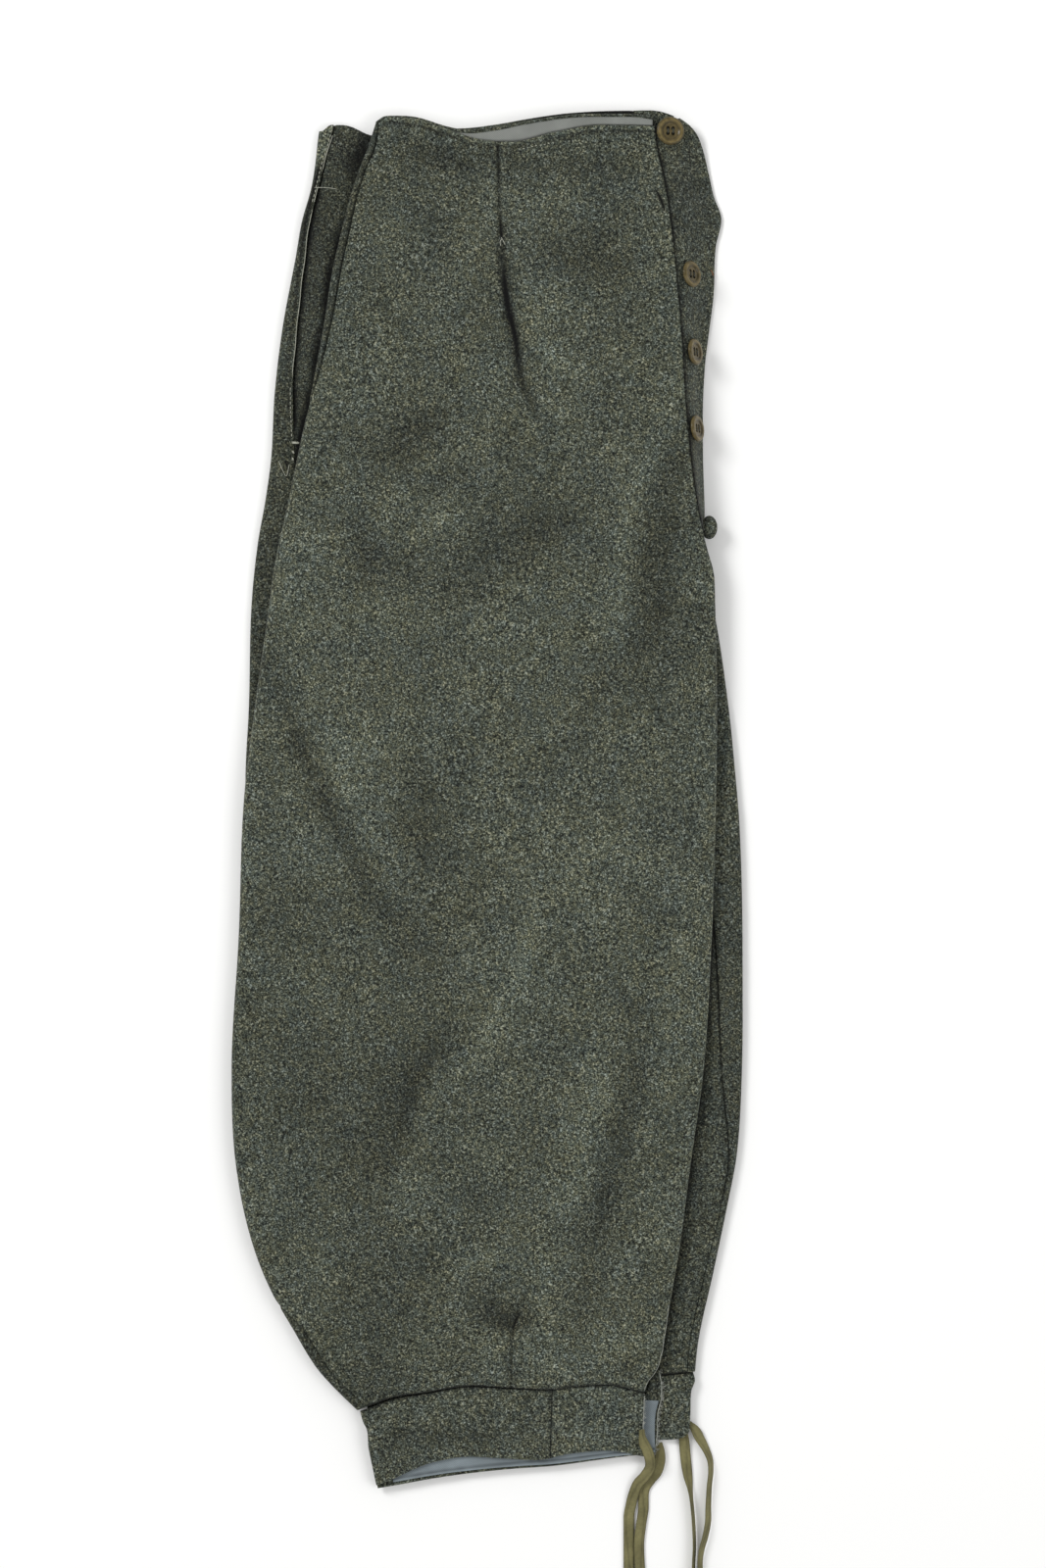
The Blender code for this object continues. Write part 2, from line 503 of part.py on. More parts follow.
def leg_grid(table, names, steps, middle, top, bottom, rows):
    """Rows of x and y over a leg, from one crosswise edge to another."""
    t = rows_down(rows)
    y_left, y_right = side_rows(top, bottom, t)
    left, right = along(table, names[0], y_left), along(table, names[1], y_right)
    x = spread(left, right, steps[0], steps[1], middle)
    share = (x - left[:, None]) / (right - left)[:, None]
    return x, bent_rows(x, share, t, top, bottom)


def patch(top, bottom, left, right, cols, rows):
    """Rows of x and y filling four edges."""
    u = np.linspace(0, 1, cols)[None, :, None]
    v = np.linspace(0, 1, rows)[:, None, None]
    a, b = edge_points(top, cols)[None], edge_points(bottom, cols)[None]
    c, d = edge_points(left, rows)[:, None], edge_points(right, rows)[:, None]
    corners = ((1 - u) * (1 - v) * a[:, :1] + u * (1 - v) * a[:, -1:]
               + (1 - u) * v * b[:, :1] + u * v * b[:, -1:])
    grid = (1 - v) * a + v * b + (1 - u) * c + u * d - corners
    return grid[..., 0], grid[..., 1]


def right_front(mat):
    """The top panel: one wall of wool with the leg's folds."""
    x, y = leg_grid(UPPER_LEG, ("front", "right"), FRONT_STEPS, 12, FRONT_WAIST, LEG_HEM[1:],
                    44)
    outer = np.stack([x, y, upper_form(x, y) + folds_at(x, y) * edge_fade(x, y)], axis=2)
    return slab("right_front", outer, inset(outer, WOOL), mat)


def right_back(mat):
    """The right back, with what lies hidden between the legs, as one rounded body.

    Its top follows the leg's form inside the front; its underside follows the lower leg.
    """
    x, y = leg_grid(UPPER_LEG, ("left", "right"), BACK_STEPS, 6, BACK_WAIST, LEG_HEM, 32)
    outer = np.stack([x, y, upper_form(x, y)], axis=2)
    top = inset(outer, BACK_INSET)
    top[..., 2] -= FOLD_ROOM * edge_fade(x, y)
    x, y = top[..., 0], top[..., 1]
    base = lower_height(x, y) + LEG_CLEARANCE
    depth = top[..., 2] - base
    lift = (roll(x - x[:, :1], RIM_LIFT, 90.0) + roll(x[:, -1:] - x, RIM_LIFT, 90.0))
    bottom = np.stack([x, y, base + np.minimum(lift, depth * 0.4)], axis=2)
    return slab("right_back", top, bottom, mat)


def left_back(mat):
    """The left back: one wall of wool between the two seams on top of the lower leg."""
    x, y = leg_grid(LOWER_LEG, ("seam_left", "seam_right"), LEFT_BACK_STEPS, 5, LOWER_WAIST,
                    LOWER_HEM, 28)
    x[:, 0] += SEAM_GAP
    x[:, -1] -= SEAM_GAP
    z = lower_height(x, y)
    z[:, 0] -= POCKET_STEP
    top = np.stack([x, y, z], axis=2)
    return slab("left_back", top, lowered(top, WOOL), mat)


def left_front(mat):
    """The left front: flat on the surface, its cloth wrapped up and in round both edges."""
    rows = 28
    t = rows_down(rows)
    y_left, y_right = side_rows(LOWER_WAIST, LOWER_HEM, t)
    left, right = along(LOWER_LEG, "left", y_left), along(LOWER_LEG, "right", y_right)
    seam_left = along(LOWER_LEG, "seam_left", y_left)
    seam_right = along(LOWER_LEG, "seam_right", y_right)
    z_left, z_right = along(LOWER_LEG, "z_left", y_left), along(LOWER_LEG, "z_right", y_right)
    inner_left, inner_right = left + z_left / 2, right - z_right / 2
    xs, zs, shares = [], [], []
    for way in (0.0, 0.5):
        xs.append(seam_left + (inner_left - seam_left) * way)
        zs.append(z_left)
        shares.append(0.0)
    for turn in np.radians([90, 135, 180, 225, 270]):
        xs.append(inner_left + z_left / 2 * np.cos(turn))
        zs.append(z_left / 2 * (1 + np.sin(turn)))
        shares.append(0.0)
    for way in np.linspace(0, 1, 8)[1:-1]:
        xs.append(inner_left + (inner_right - inner_left) * way)
        zs.append(np.zeros(rows))
        shares.append(way)
    for turn in np.radians([-90, -45, 0, 45, 90]):
        xs.append(inner_right + z_right / 2 * np.cos(turn))
        zs.append(z_right / 2 * (1 + np.sin(turn)))
        shares.append(1.0)
    for way in (0.5, 1.0):
        xs.append(inner_right + (seam_right - inner_right) * way)
        zs.append(z_right)
        shares.append(1.0)
    x, z = np.stack(xs, axis=1), np.stack(zs, axis=1)
    y = bent_rows(x, np.array(shares)[None, :], t, LOWER_WAIST, LOWER_HEM)
    outer = np.stack([x, y, z], axis=2)
    inner = inset(outer, -WOOL)
    return slab("left_front", outer, inner, mat)


def stand_at(y, share):
    """Outer face of the button stand at a height and a share of the way to its free edge."""
    edge = along(UPPER_LEG, "right", y)
    seam_x, seam_z = edge + STAND_GAP, upper_form(edge, y)
    outer_y, outer, z_outer = (along(BUTTON_STAND, n, y) for n in ("outer_y", "outer", "z_outer"))
    fall = share - STAND_BEND * np.sin(2 * np.pi * share)
    return np.stack([seam_x + (outer - seam_x) * share, y + (outer_y - y) * share,
                     seam_z + (z_outer - seam_z) * fall], axis=-1)


def button_stand(mat):
    """The underlap with the buttons, falling from the front's edge to the surface."""
    rows, cols = 22, 7
    t = np.linspace(0, 1, rows)[:, None]
    y = BUTTON_STAND[0].y + (BUTTON_STAND[-1].y - BUTTON_STAND[0].y) * t ** STAND_CROWDING
    outer = stand_at(y * np.ones((1, cols)), np.linspace(0, 1, cols)[None, :] * np.ones((rows, 1)))
    inner = inset(outer, PRESSED_WOOL)
    edge = along(UPPER_LEG, "right", y[:, 0])
    fall = upper_form(edge - EDGE_STEP, y[:, 0]) - upper_form(edge, y[:, 0])
    slope = np.arctan(fall / EDGE_STEP)
    inner[:, 0, 0] = outer[:, 0, 0] - PRESSED_WOOL * np.sin(slope)
    inner[:, 0, 2] = outer[:, 0, 2] - PRESSED_WOOL * np.cos(slope)
    return slab("button_stand", outer, inner, mat)


def left_fly(mat):
    """Hidden layers of the left fly, folded under the stand, as one rounded body."""
    rows, cols, samples = 14, 5, 61
    share = np.linspace(0, 1, samples)
    past_bend = samples // 12
    tops = []
    for y in np.linspace(*LEFT_FLY_ROWS, rows):
        face = stand_at(np.full(samples, y), share)
        slope = np.gradient(face[:, 2]) / np.gradient(face[:, 0])
        z = face[:, 2] - (PRESSED_WOOL + LEFT_FLY_CLEARANCE) * np.sqrt(1 + slope ** 2)
        end = np.interp(-LEFT_FLY_FOOT, -z[past_bend:], face[past_bend:, 0])
        x = np.linspace(face[0, 0] + LEFT_FLY_INSET, end, cols)
        tops.append(np.stack([x, np.full(cols, y), np.interp(x, face[:, 0], z)], axis=1))
    top = np.stack(tops)
    bottom = top.copy()
    bottom[..., 2] = lower_height(top[..., 0], top[..., 1]) + LEG_CLEARANCE
    return slab("left_fly", top, bottom, mat)


def fly_end(mat):
    """The round, stitched lower end of the left fly, a flattened pad of cloth."""
    bm = bmesh.new()
    bmesh.ops.create_uvsphere(bm, u_segments=14, v_segments=8, radius=1.0)
    points = np.array([v.co[:] for v in bm.verts]) * FLY_END_RADII + FLY_END
    faces = [[v.index for v in f.verts] for f in bm.faces]
    bm.free()
    return add_object("fly_end", points, faces, mat)


def button(place, mat):
    """A turned button with a raised rim, a dished middle and four thread holes."""
    points, faces = [], []
    rings = len(BUTTON_RINGS)
    for ring in BUTTON_RINGS:
        for k in range(BUTTON_SIDES):
            turn = 2 * math.pi * k / BUTTON_SIDES
            points.append((place.radius * ring.radius * math.cos(turn),
                           place.radius * ring.radius * math.sin(turn),
                           BUTTON_THICK * ring.height))
    for r in range(rings - 1):
        for k in range(BUTTON_SIDES):
            n = (k + 1) % BUTTON_SIDES
            faces.append((r * BUTTON_SIDES + k, r * BUTTON_SIDES + n,
                          (r + 1) * BUTTON_SIDES + n, (r + 1) * BUTTON_SIDES + k))
    faces.append(tuple(range(BUTTON_SIDES - 1, -1, -1)))
    faces.append(tuple((rings - 1) * BUTTON_SIDES + k for k in range(BUTTON_SIDES)))
    obj = add_object(place.name, points, faces, mat)

    drill = bmesh.new()
    for sx in (-1, 1):
        for sy in (-1, 1):
            middle = Vector((sx, sy, 0)) * BUTTON_HOLE_PITCH * MM
            middle.z = BUTTON_THICK * MM / 2
            bmesh.ops.create_cone(drill, cap_ends=True, segments=HOLE_SIDES,
                                  radius1=BUTTON_HOLE_RADIUS * MM, radius2=BUTTON_HOLE_RADIUS * MM,
                                  depth=BUTTON_THICK * MM * 2, matrix=Matrix.Translation(middle))
    cutter_mesh = bpy.data.meshes.new(place.name + "_drill")
    drill.to_mesh(cutter_mesh)
    drill.free()
    cutter = bpy.data.objects.new(place.name + "_drill", cutter_mesh)
    cutter.hide_render = True
    cutter.display_type = "WIRE"
    bpy.context.collection.objects.link(cutter)
    cutter.parent = obj
    holes = obj.modifiers.new("holes", "BOOLEAN")
    holes.operation = "DIFFERENCE"
    holes.object = cutter

    y = np.float64(place.y)
    seam_x = float(along(UPPER_LEG, "right", y)) + STAND_GAP
    share = (place.x - seam_x) / (float(along(BUTTON_STAND, "outer", y)) - seam_x)
    middle = stand_at(y, np.float64(share))
    tilt, turn = math.radians(place.tilt), math.radians(place.turn)
    facing = Vector((math.sin(tilt) * math.cos(turn), math.sin(tilt) * math.sin(turn),
                     math.cos(tilt)))
    obj.rotation_mode = "QUATERNION"
    obj.rotation_quaternion = Vector((0, 0, 1)).rotation_difference(facing)
    obj.location = (Vector((place.x, place.y, float(middle[2]))) + facing * BUTTON_STANDOFF) * MM
    return obj


def waist_lining(mat):
    """Twill lining of the back, where it shows between the two waist edges."""
    rows, cols = 3, 16
    x = np.linspace(*WAIST_LINING_SPAN, cols)[None, :] * np.ones((rows, 1))
    front = edge_y(FRONT_WAIST, x[0]) + WAIST_LINING_FRONT_GAP
    back = np.maximum(edge_y(BACK_WAIST, x[0]) - WAIST_LINING_BACK_GAP,
                      front + WAIST_LINING_LEAST)
    y = front + (back - front) * np.linspace(0, 1, rows)[:, None]
    z = upper_form(x, y) - LINING_DEPTH - FOLD_ROOM / 2 * edge_fade(x, y)
    top = np.stack([x, y, z], axis=2)
    return slab("waist_lining", top[::-1], lowered(top, TWILL)[::-1], mat)


def cuff_height(x, y):
    """Height of the right cuff's front wall."""
    top, bottom = edge_y(LEG_HEM, x), edge_y(CUFF_HEM, x)
    v = np.clip((top - y) / (top - bottom), 0, 1)
    return RIGHT_CUFF_TOP - CUFF_MOUTH_DROP * v ** 2


def cuff_piece(name, top, bottom, left, right, cols, rows, height, thickness, rolled, mat):
    """One wall of a cuff, filling four edges, with its left side rolled where asked."""
    x, y = patch(top, bottom, left, right, cols, rows)
    z = height(x, y) if callable(height) else np.full_like(x, height)
    grid = np.stack([x, y, z], axis=2)
    if rolled:
        near = x - x[:, :1]
        grid[..., 2] -= roll(near, CUFF_RADIUS, CUFF_SIDE_LEAN) * CUFF_SIDE_SHARE
    return slab(name, grid, lowered(grid, thickness), mat)


def clip_edge(points, start, end, drop=0.0, count=9):
    """Part of a crosswise edge between two x values, moved down by a small gap."""
    xs = np.linspace(start, end, count)
    return [EdgePoint(float(x), float(edge_y(points, x)) - drop) for x in xs]


def moved(points, dx, dy=0.0):
    """An edge moved sideways and up or down."""
    return [EdgePoint(p.x + dx, p.y + dy) for p in points]


def left_cuff_height(x, y):
    """Height of the left cuff's back wall, puffed where nothing lies on it."""
    slit_edge = SLIT_BACK_SIDE[1].x + 1.0
    free = np.clip((x - slit_edge) / LEFT_CUFF_PUFF_EASE, 0, 1)
    return LEFT_CUFF_BACK_TOP + LEFT_CUFF_PUFF * free * free * (3 - 2 * free)


def back_cuff_height(x, y):
    """Height of the right cuff's back wall, riding up on the left leg above its hem."""
    over_leg = np.clip((y - edge_y(LOWER_HEM, x)) / CUFF_EAR_RUN + 1, 0, 1)
    at_slit = np.clip((x - CUFF_EAR_START) / CUFF_EAR_EASE, 0, 1)
    return RIGHT_CUFF_BACK_TOP + CUFF_EAR_RISE * over_leg * at_slit


def cuffs(wool, lining):
    """Both cuffs: walls of wool, and the lining in the right one."""
    seam_top, seam_bottom = CUFF_SEAM[0].x, CUFF_SEAM[1].x
    tab_top, tab_bottom = seam_top + SEAM_GAP, seam_bottom + SEAM_GAP
    cuff_piece("right_cuff_band",
               clip_edge(LEG_HEM, CUFF_LEFT_SIDE[0].x, seam_top, HEM_GAP),
               clip_edge(CUFF_HEM, CUFF_LEFT_SIDE[-1].x, seam_bottom),
               CUFF_LEFT_SIDE, CUFF_SEAM, 16, 6, cuff_height, WOOL, True, wool)
    cuff_piece("right_cuff_tab",
               clip_edge(LEG_HEM, tab_top, SLIT_FRONT_SIDE[0].x, HEM_GAP),
               clip_edge(CUFF_HEM, tab_bottom, SLIT_FRONT_SIDE[-1].x),
               moved(CUFF_SEAM, SEAM_GAP), SLIT_FRONT_SIDE, 8, 6, cuff_height, WOOL, False, wool)
    cuff_piece("right_cuff_back", BACK_CUFF_TOP, BACK_CUFF_HEM,
               moved(CUFF_LEFT_SIDE, *CUFF_BACK_SHIFT), SLIT_BACK_SIDE, 22, 7,
               back_cuff_height, WOOL, False, wool)
    from_slit, from_hem = CUFF_LINING_INSET
    lining_hem = moved(BACK_CUFF_HEM[1:], 0.0, from_hem)
    lining_right = moved(SLIT_BACK_SIDE[2:-1], -from_slit) + lining_hem[-1:]
    lining_left = [LINING_TOP[0], lining_hem[0]]
    cuff_piece("right_cuff_lining", LINING_TOP, lining_hem, lining_left, lining_right,
               14, 3, CUFF_LINING_TOP, TWILL, False, lining)
    hem = moved(LOWER_HEM, 0.0, -HEM_GAP)
    hem[0] = LEFT_CUFF_LEFT_SIDE[0]
    hem[-1] = LEFT_CUFF_SIDE[0]
    cuff_piece("left_cuff_back", hem, LEFT_CUFF_HEM, LEFT_CUFF_LEFT_SIDE, LEFT_CUFF_SIDE,
               20, 5, left_cuff_height, WOOL, False, wool)
    cuff_piece("left_cuff_front", hem, LEFT_CUFF_HEM, LEFT_CUFF_LEFT_SIDE, LEFT_CUFF_SIDE,
               12, 4, LEFT_CUFF_FRONT_TOP, WOOL, False, wool)


def tape(name, route, mat):
    """A flat tape along its route, turned about its length where it twists."""
    keys = np.arange(len(route), dtype=float)
    at = np.linspace(0, keys[-1], TAPE_STEPS)
    middle = np.stack([smooth(keys, column(route, n), at) for n in ("x", "y", "z")], axis=1)
    turn = np.radians(smooth(keys, column(route, "turn"), at))
    ahead = np.gradient(middle, axis=0)
    ahead /= np.linalg.norm(ahead, axis=1, keepdims=True)
    side = np.cross(ahead, [0.0, 0.0, 1.0])
    side /= np.linalg.norm(side, axis=1, keepdims=True)
    up = np.cross(side, ahead)
    across = side * np.cos(turn)[:, None] + up * np.sin(turn)[:, None]
    facing = np.cross(across, ahead)
    points = []
    for a, b in ((-0.5, -0.5), (0.5, -0.5), (0.5, 0.5), (-0.5, 0.5)):
        points.append(middle + across * a * TAPE_WIDTH + facing * b * TAPE_THICK)
    ring = np.stack(points, axis=1)
    faces = [(0, 1, 2, 3)]
    for r in range(TAPE_STEPS - 1):
        for k in range(4):
            n = (k + 1) % 4
            faces.append((r * 4 + k, (r + 1) * 4 + k, (r + 1) * 4 + n, r * 4 + n))
    last = (TAPE_STEPS - 1) * 4
    faces.append((last + 3, last + 2, last + 1, last))
    return add_object(name, ring.reshape(-1, 3), faces, mat)


def build():
    """All pieces of the trousers."""
    wool = material("field_grey_wool", (0.070, 0.080, 0.062), 0.95)
    grey_twill = material("grey_twill", (0.135, 0.147, 0.120), 0.85)
    blue_twill = material("grey_blue_twill", (0.150, 0.168, 0.162), 0.85)
    khaki_tape = material("khaki_tape", (0.201, 0.181, 0.098), 0.85)
    horn = material("brown_button", (0.150, 0.105, 0.045), 0.45)
    left_front(wool)
    left_back(wool)
    right_back(wool)
    right_front(wool)
    button_stand(wool)
    left_fly(wool)
    fly_end(wool)
    waist_lining(grey_twill)
    cuffs(wool, blue_twill)
    for place in BUTTONS:
        button(place, horn)
    for name, route in TAPES.items():
        tape(name, route, khaki_tape)


for old in list(bpy.data.objects):
    bpy.data.objects.remove(old, do_unlink=True)
build()
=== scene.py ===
# %% [markdown]
# # Wool military trousers, folded and laid flat
#
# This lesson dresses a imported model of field-grey wool trousers. The solids are already in
# place: thin walls for the layers that show and one rounded body for those that are hidden.
# Here each of them gets its cloth: a finer surface with soft folds, turned edges, seams,
# stitching, buttons and tape. Lengths in the tables are millimetres; the meshes are metres.

# %% Load the frame
import math
from collections import namedtuple

import bpy
import numpy as np
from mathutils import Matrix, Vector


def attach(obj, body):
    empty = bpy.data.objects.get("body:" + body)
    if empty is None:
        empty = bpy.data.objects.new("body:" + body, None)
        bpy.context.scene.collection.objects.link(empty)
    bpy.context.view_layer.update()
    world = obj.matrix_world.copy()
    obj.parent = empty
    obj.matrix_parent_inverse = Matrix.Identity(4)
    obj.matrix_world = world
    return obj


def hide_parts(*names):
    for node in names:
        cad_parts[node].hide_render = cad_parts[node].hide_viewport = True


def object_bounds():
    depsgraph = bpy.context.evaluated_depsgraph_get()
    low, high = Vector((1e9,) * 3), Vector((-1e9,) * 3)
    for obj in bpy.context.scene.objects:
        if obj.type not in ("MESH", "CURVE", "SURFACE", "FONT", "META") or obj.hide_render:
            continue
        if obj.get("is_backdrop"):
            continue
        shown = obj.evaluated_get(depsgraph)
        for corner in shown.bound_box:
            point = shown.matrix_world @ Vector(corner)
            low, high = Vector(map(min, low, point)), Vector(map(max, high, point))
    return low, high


MM = 0.001

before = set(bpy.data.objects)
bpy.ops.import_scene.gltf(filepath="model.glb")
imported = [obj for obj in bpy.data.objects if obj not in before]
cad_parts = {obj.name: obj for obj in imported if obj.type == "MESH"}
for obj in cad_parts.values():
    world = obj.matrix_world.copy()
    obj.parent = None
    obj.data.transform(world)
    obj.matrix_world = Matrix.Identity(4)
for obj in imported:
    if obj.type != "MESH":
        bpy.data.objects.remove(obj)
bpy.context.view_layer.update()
print("solids to dress:", len(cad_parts))

# %% [markdown]
# ## Camera, floor and light
#
# The photograph looks straight down on the trousers, so the camera hangs three metres above
# them with its top towards the waist. A long lens from far away keeps the near and the far
# layers at the same size. The picture is 1067 by 1600 pixels at 0.70 mm a pixel, so it covers
# 1.12 m from top to bottom.

# %% Camera
PIXEL = 0.70                    # mm of the garment to a pixel of the picture
PICTURE = (1067, 1600)
VIEW_MIDDLE = (24.9, 9.5)       # what the middle of the picture looks at
CAMERA_DISTANCE = 3000.0
MIDDLE_HEIGHT = 13.0

camera_data = bpy.data.cameras.new("camera")
camera = bpy.data.objects.new("camera", camera_data)
bpy.context.collection.objects.link(camera)
camera.location = np.array([*VIEW_MIDDLE, MIDDLE_HEIGHT + CAMERA_DISTANCE]) * MM
camera_data.sensor_width = 36.0
camera_data.lens = 36.0 * CAMERA_DISTANCE / (PICTURE[1] * PIXEL)
bpy.context.scene.camera = camera
bpy.context.scene.view_settings.view_transform = "Standard"
print("lens, mm:", round(camera_data.lens, 1))

# %% Helpers that turn arrays into meshes
def mesh_object(name, points, polygons, finish, smooth=True):
    """An object at the origin from points in millimetres and polygons of one size."""
    points = np.asarray(points, float).reshape(-1, 3) * MM
    polygons = np.asarray(polygons)
    count, sides = polygons.shape
    mesh = bpy.data.meshes.new(name)
    mesh.vertices.add(len(points))
    mesh.vertices.foreach_set("co", points.ravel())
    mesh.loops.add(count * sides)
    mesh.loops.foreach_set("vertex_index", polygons.ravel())
    mesh.polygons.add(count)
    mesh.polygons.foreach_set("loop_start", np.arange(count) * sides)
    mesh.polygons.foreach_set("use_smooth", np.full(count, smooth))
    mesh.update(calc_edges=True)
    mesh.validate()
    mesh.materials.append(finish)
    thing = bpy.data.objects.new(name, mesh)
    bpy.context.collection.objects.link(thing)
    return thing


def turned_out(points, polygons):
    """Polygons of a closed mesh, turned over if the volume they enclose comes out negative."""
    points = np.asarray(points, float).reshape(-1, 3)
    first = points[polygons[:, 0]]
    volume = 0.0
    for k in range(1, polygons.shape[1] - 1):
        a, b = points[polygons[:, k]], points[polygons[:, k + 1]]
        volume += np.einsum("ij,ij->", first, np.cross(a, b))
    return polygons if volume > 0 else polygons[:, ::-1]


def ring_quads(rings, sides):
    """Quads that join rings of points in turn, and close the first ring and the last."""
    r, k = np.meshgrid(np.arange(rings - 1), np.arange(sides), indexing="ij")
    n = (k + 1) % sides
    wall = np.stack([r * sides + k, r * sides + n, (r + 1) * sides + n, (r + 1) * sides + k], -1)
    k = np.arange(1, sides // 2)
    first, last = (np.stack([row + k - 1, row + k, row + sides - 1 - k, row + sides - k], -1)
                   for row in (0, (rings - 1) * sides))
    return np.concatenate([wall.reshape(-1, 4), first[:, ::-1], last])


def store_shade(piece, values):
    """The shade of each point, which the finishes read."""
    piece.data.attributes.new("shade", "FLOAT", "POINT").data.foreach_set("value", values.ravel())


# %% Floor and light
def plain_finish(name, colour, roughness):
    """A plain finish for the floor."""
    finish = bpy.data.materials.new(name)
    finish.use_nodes = True
    shader = finish.node_tree.nodes["Principled BSDF"]
    shader.inputs["Base Color"].default_value = (*colour, 1.0)
    shader.inputs["Roughness"].default_value = roughness
    return finish


floor = mesh_object("floor", [(-4000, -4000, -0.4), (4000, -4000, -0.4), (4000, 4000, -0.4),
                              (-4000, 4000, -0.4)], [(0, 1, 2, 3)],
                    plain_finish("pale_floor", (0.93, 0.93, 0.92), 0.9), smooth=False)
floor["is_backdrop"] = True


def softbox(name, place, size, power):
    """A square area light at a place in metres, turned towards the middle of the garment."""
    data = bpy.data.lights.new(name, "AREA")
    data.shape = "SQUARE"
    data.size = size
    data.energy = power
    lamp = bpy.data.objects.new(name, data)
    bpy.context.collection.objects.link(lamp)
    lamp.location = place
    away = np.array(place) / np.linalg.norm(place)
    tilt, turn = math.acos(away[2]), math.atan2(away[1], away[0])
    lamp.rotation_euler = (0.0, tilt, turn)
    return lamp


softbox("light_left", (-1.9, 1.5, 2.3), 1.1, 62.0)
softbox("light_right", (2.1, -0.8, 2.6), 1.8, 26.0)
world = bpy.data.worlds.new("studio")
world.use_nodes = True
world.node_tree.nodes["Background"].inputs["Color"].default_value = (1.0, 1.0, 1.0, 1.0)
world.node_tree.nodes["Background"].inputs["Strength"].default_value = 0.62
bpy.context.scene.world = world

# %% [markdown]
# ## Finishes
#
# The cloth is felted wool of mixed light and dark fibres, so a single grey-green would look
# like felt-tip. Two noises, one and two millimetres across, stand for the fibres, and a ramp
# turns their sum into dark, middle and light ones. Four slower noises, from three to fifty
# millimetres across, change the hue, clot the grain and shift the tone as wear does. The
# `shade` attribute, which each mesh may carry, darkens seams and lightens rubbed edges. It
# also carries painted light: painted shade in creases, slits and on cloth lying below other
# cloth, painted shadows beside overlying edges, and painted highlights on crests and rims.

# %% Node helpers
def new_finish(name, roughness, sheen=0.0):
    """A material with its node tree, shader and a link helper."""
    finish = bpy.data.materials.new(name)
    finish.use_nodes = True
    tree = finish.node_tree
    shader = tree.nodes["Principled BSDF"]
    shader.inputs["Roughness"].default_value = roughness
    shader.inputs["Specular IOR Level"].default_value = 0.25
    shader.inputs["Sheen Weight"].default_value = sheen
    shader.inputs["Sheen Roughness"].default_value = 0.5
    return finish, tree, shader


def add_node(tree, kind, **settings):
    """A node with its sockets and properties set by name."""
    node = tree.nodes.new(kind)
    for key, value in settings.items():
        if key in node.inputs:
            node.inputs[key].default_value = value
        else:
            setattr(node, key, value)
    return node


def noise_at(tree, coordinates, scale, turn=0.0, detail=2.0, rough=0.5):
    """Noise of a given number of cells a metre, turned about Z."""
    mapping = add_node(tree, "ShaderNodeMapping")
    mapping.inputs["Rotation"].default_value = (0.0, 0.0, turn)
    noise = add_node(tree, "ShaderNodeTexNoise", Scale=scale, Detail=detail, Roughness=rough)
    tree.links.new(coordinates, mapping.inputs["Vector"])
    tree.links.new(mapping.outputs["Vector"], noise.inputs["Vector"])
    return noise.outputs["Fac"]


def blend_values(tree, operation, a, b):
    """A math node on two values, each a socket or a number."""
    node = add_node(tree, "ShaderNodeMath", operation=operation)
    for socket, value in zip(node.inputs, (a, b)):
        if isinstance(value, (int, float)):
            socket.default_value = value
        else:
            tree.links.new(value, socket)
    return node.outputs["Value"]


def ramp(tree, value, stops):
    """A colour ramp through (position, colour) stops."""
    node = add_node(tree, "ShaderNodeValToRGB")
    elements = node.color_ramp.elements
    while len(elements) < len(stops):
        elements.new(0.5)
    for element, (position, colour) in zip(elements, stops):
        element.position = position
        element.color = (*colour, 1.0)
    tree.links.new(value, node.inputs["Fac"])
    return node.outputs["Color"]


def mixed(tree, mode, factor, a, b):
    """A colour mix of two colours, each a socket or a colour."""
    node = add_node(tree, "ShaderNodeMix", data_type="RGBA", blend_type=mode)
    for socket, value in zip((node.inputs[0], node.inputs[6], node.inputs[7]), (factor, a, b)):
        if isinstance(value, (int, float)):
            socket.default_value = value
        elif isinstance(value, tuple):
            socket.default_value = (*value, 1.0)
        else:
            tree.links.new(value, socket)
    return node.outputs[2]


def shaded(tree, colour):
    """Colour multiplied by one plus the mesh's shade attribute."""
    attribute = add_node(tree, "ShaderNodeAttribute", attribute_name="shade")
    factor = blend_values(tree, "ADD", attribute.outputs["Fac"], 1.0)
    scale = add_node(tree, "ShaderNodeVectorMath", operation="SCALE")
    tree.links.new(colour, scale.inputs[0])
    tree.links.new(factor, scale.inputs["Scale"])
    return scale.outputs["Vector"]


def bumped(tree, shader, height, strength, distance):
    """Bump of a height, in metres, on the shader's normal."""
    bump = add_node(tree, "ShaderNodeBump", Strength=strength, Distance=distance)
    tree.links.new(height, bump.inputs["Height"])
    tree.links.new(bump.outputs["Normal"], shader.inputs["Normal"])


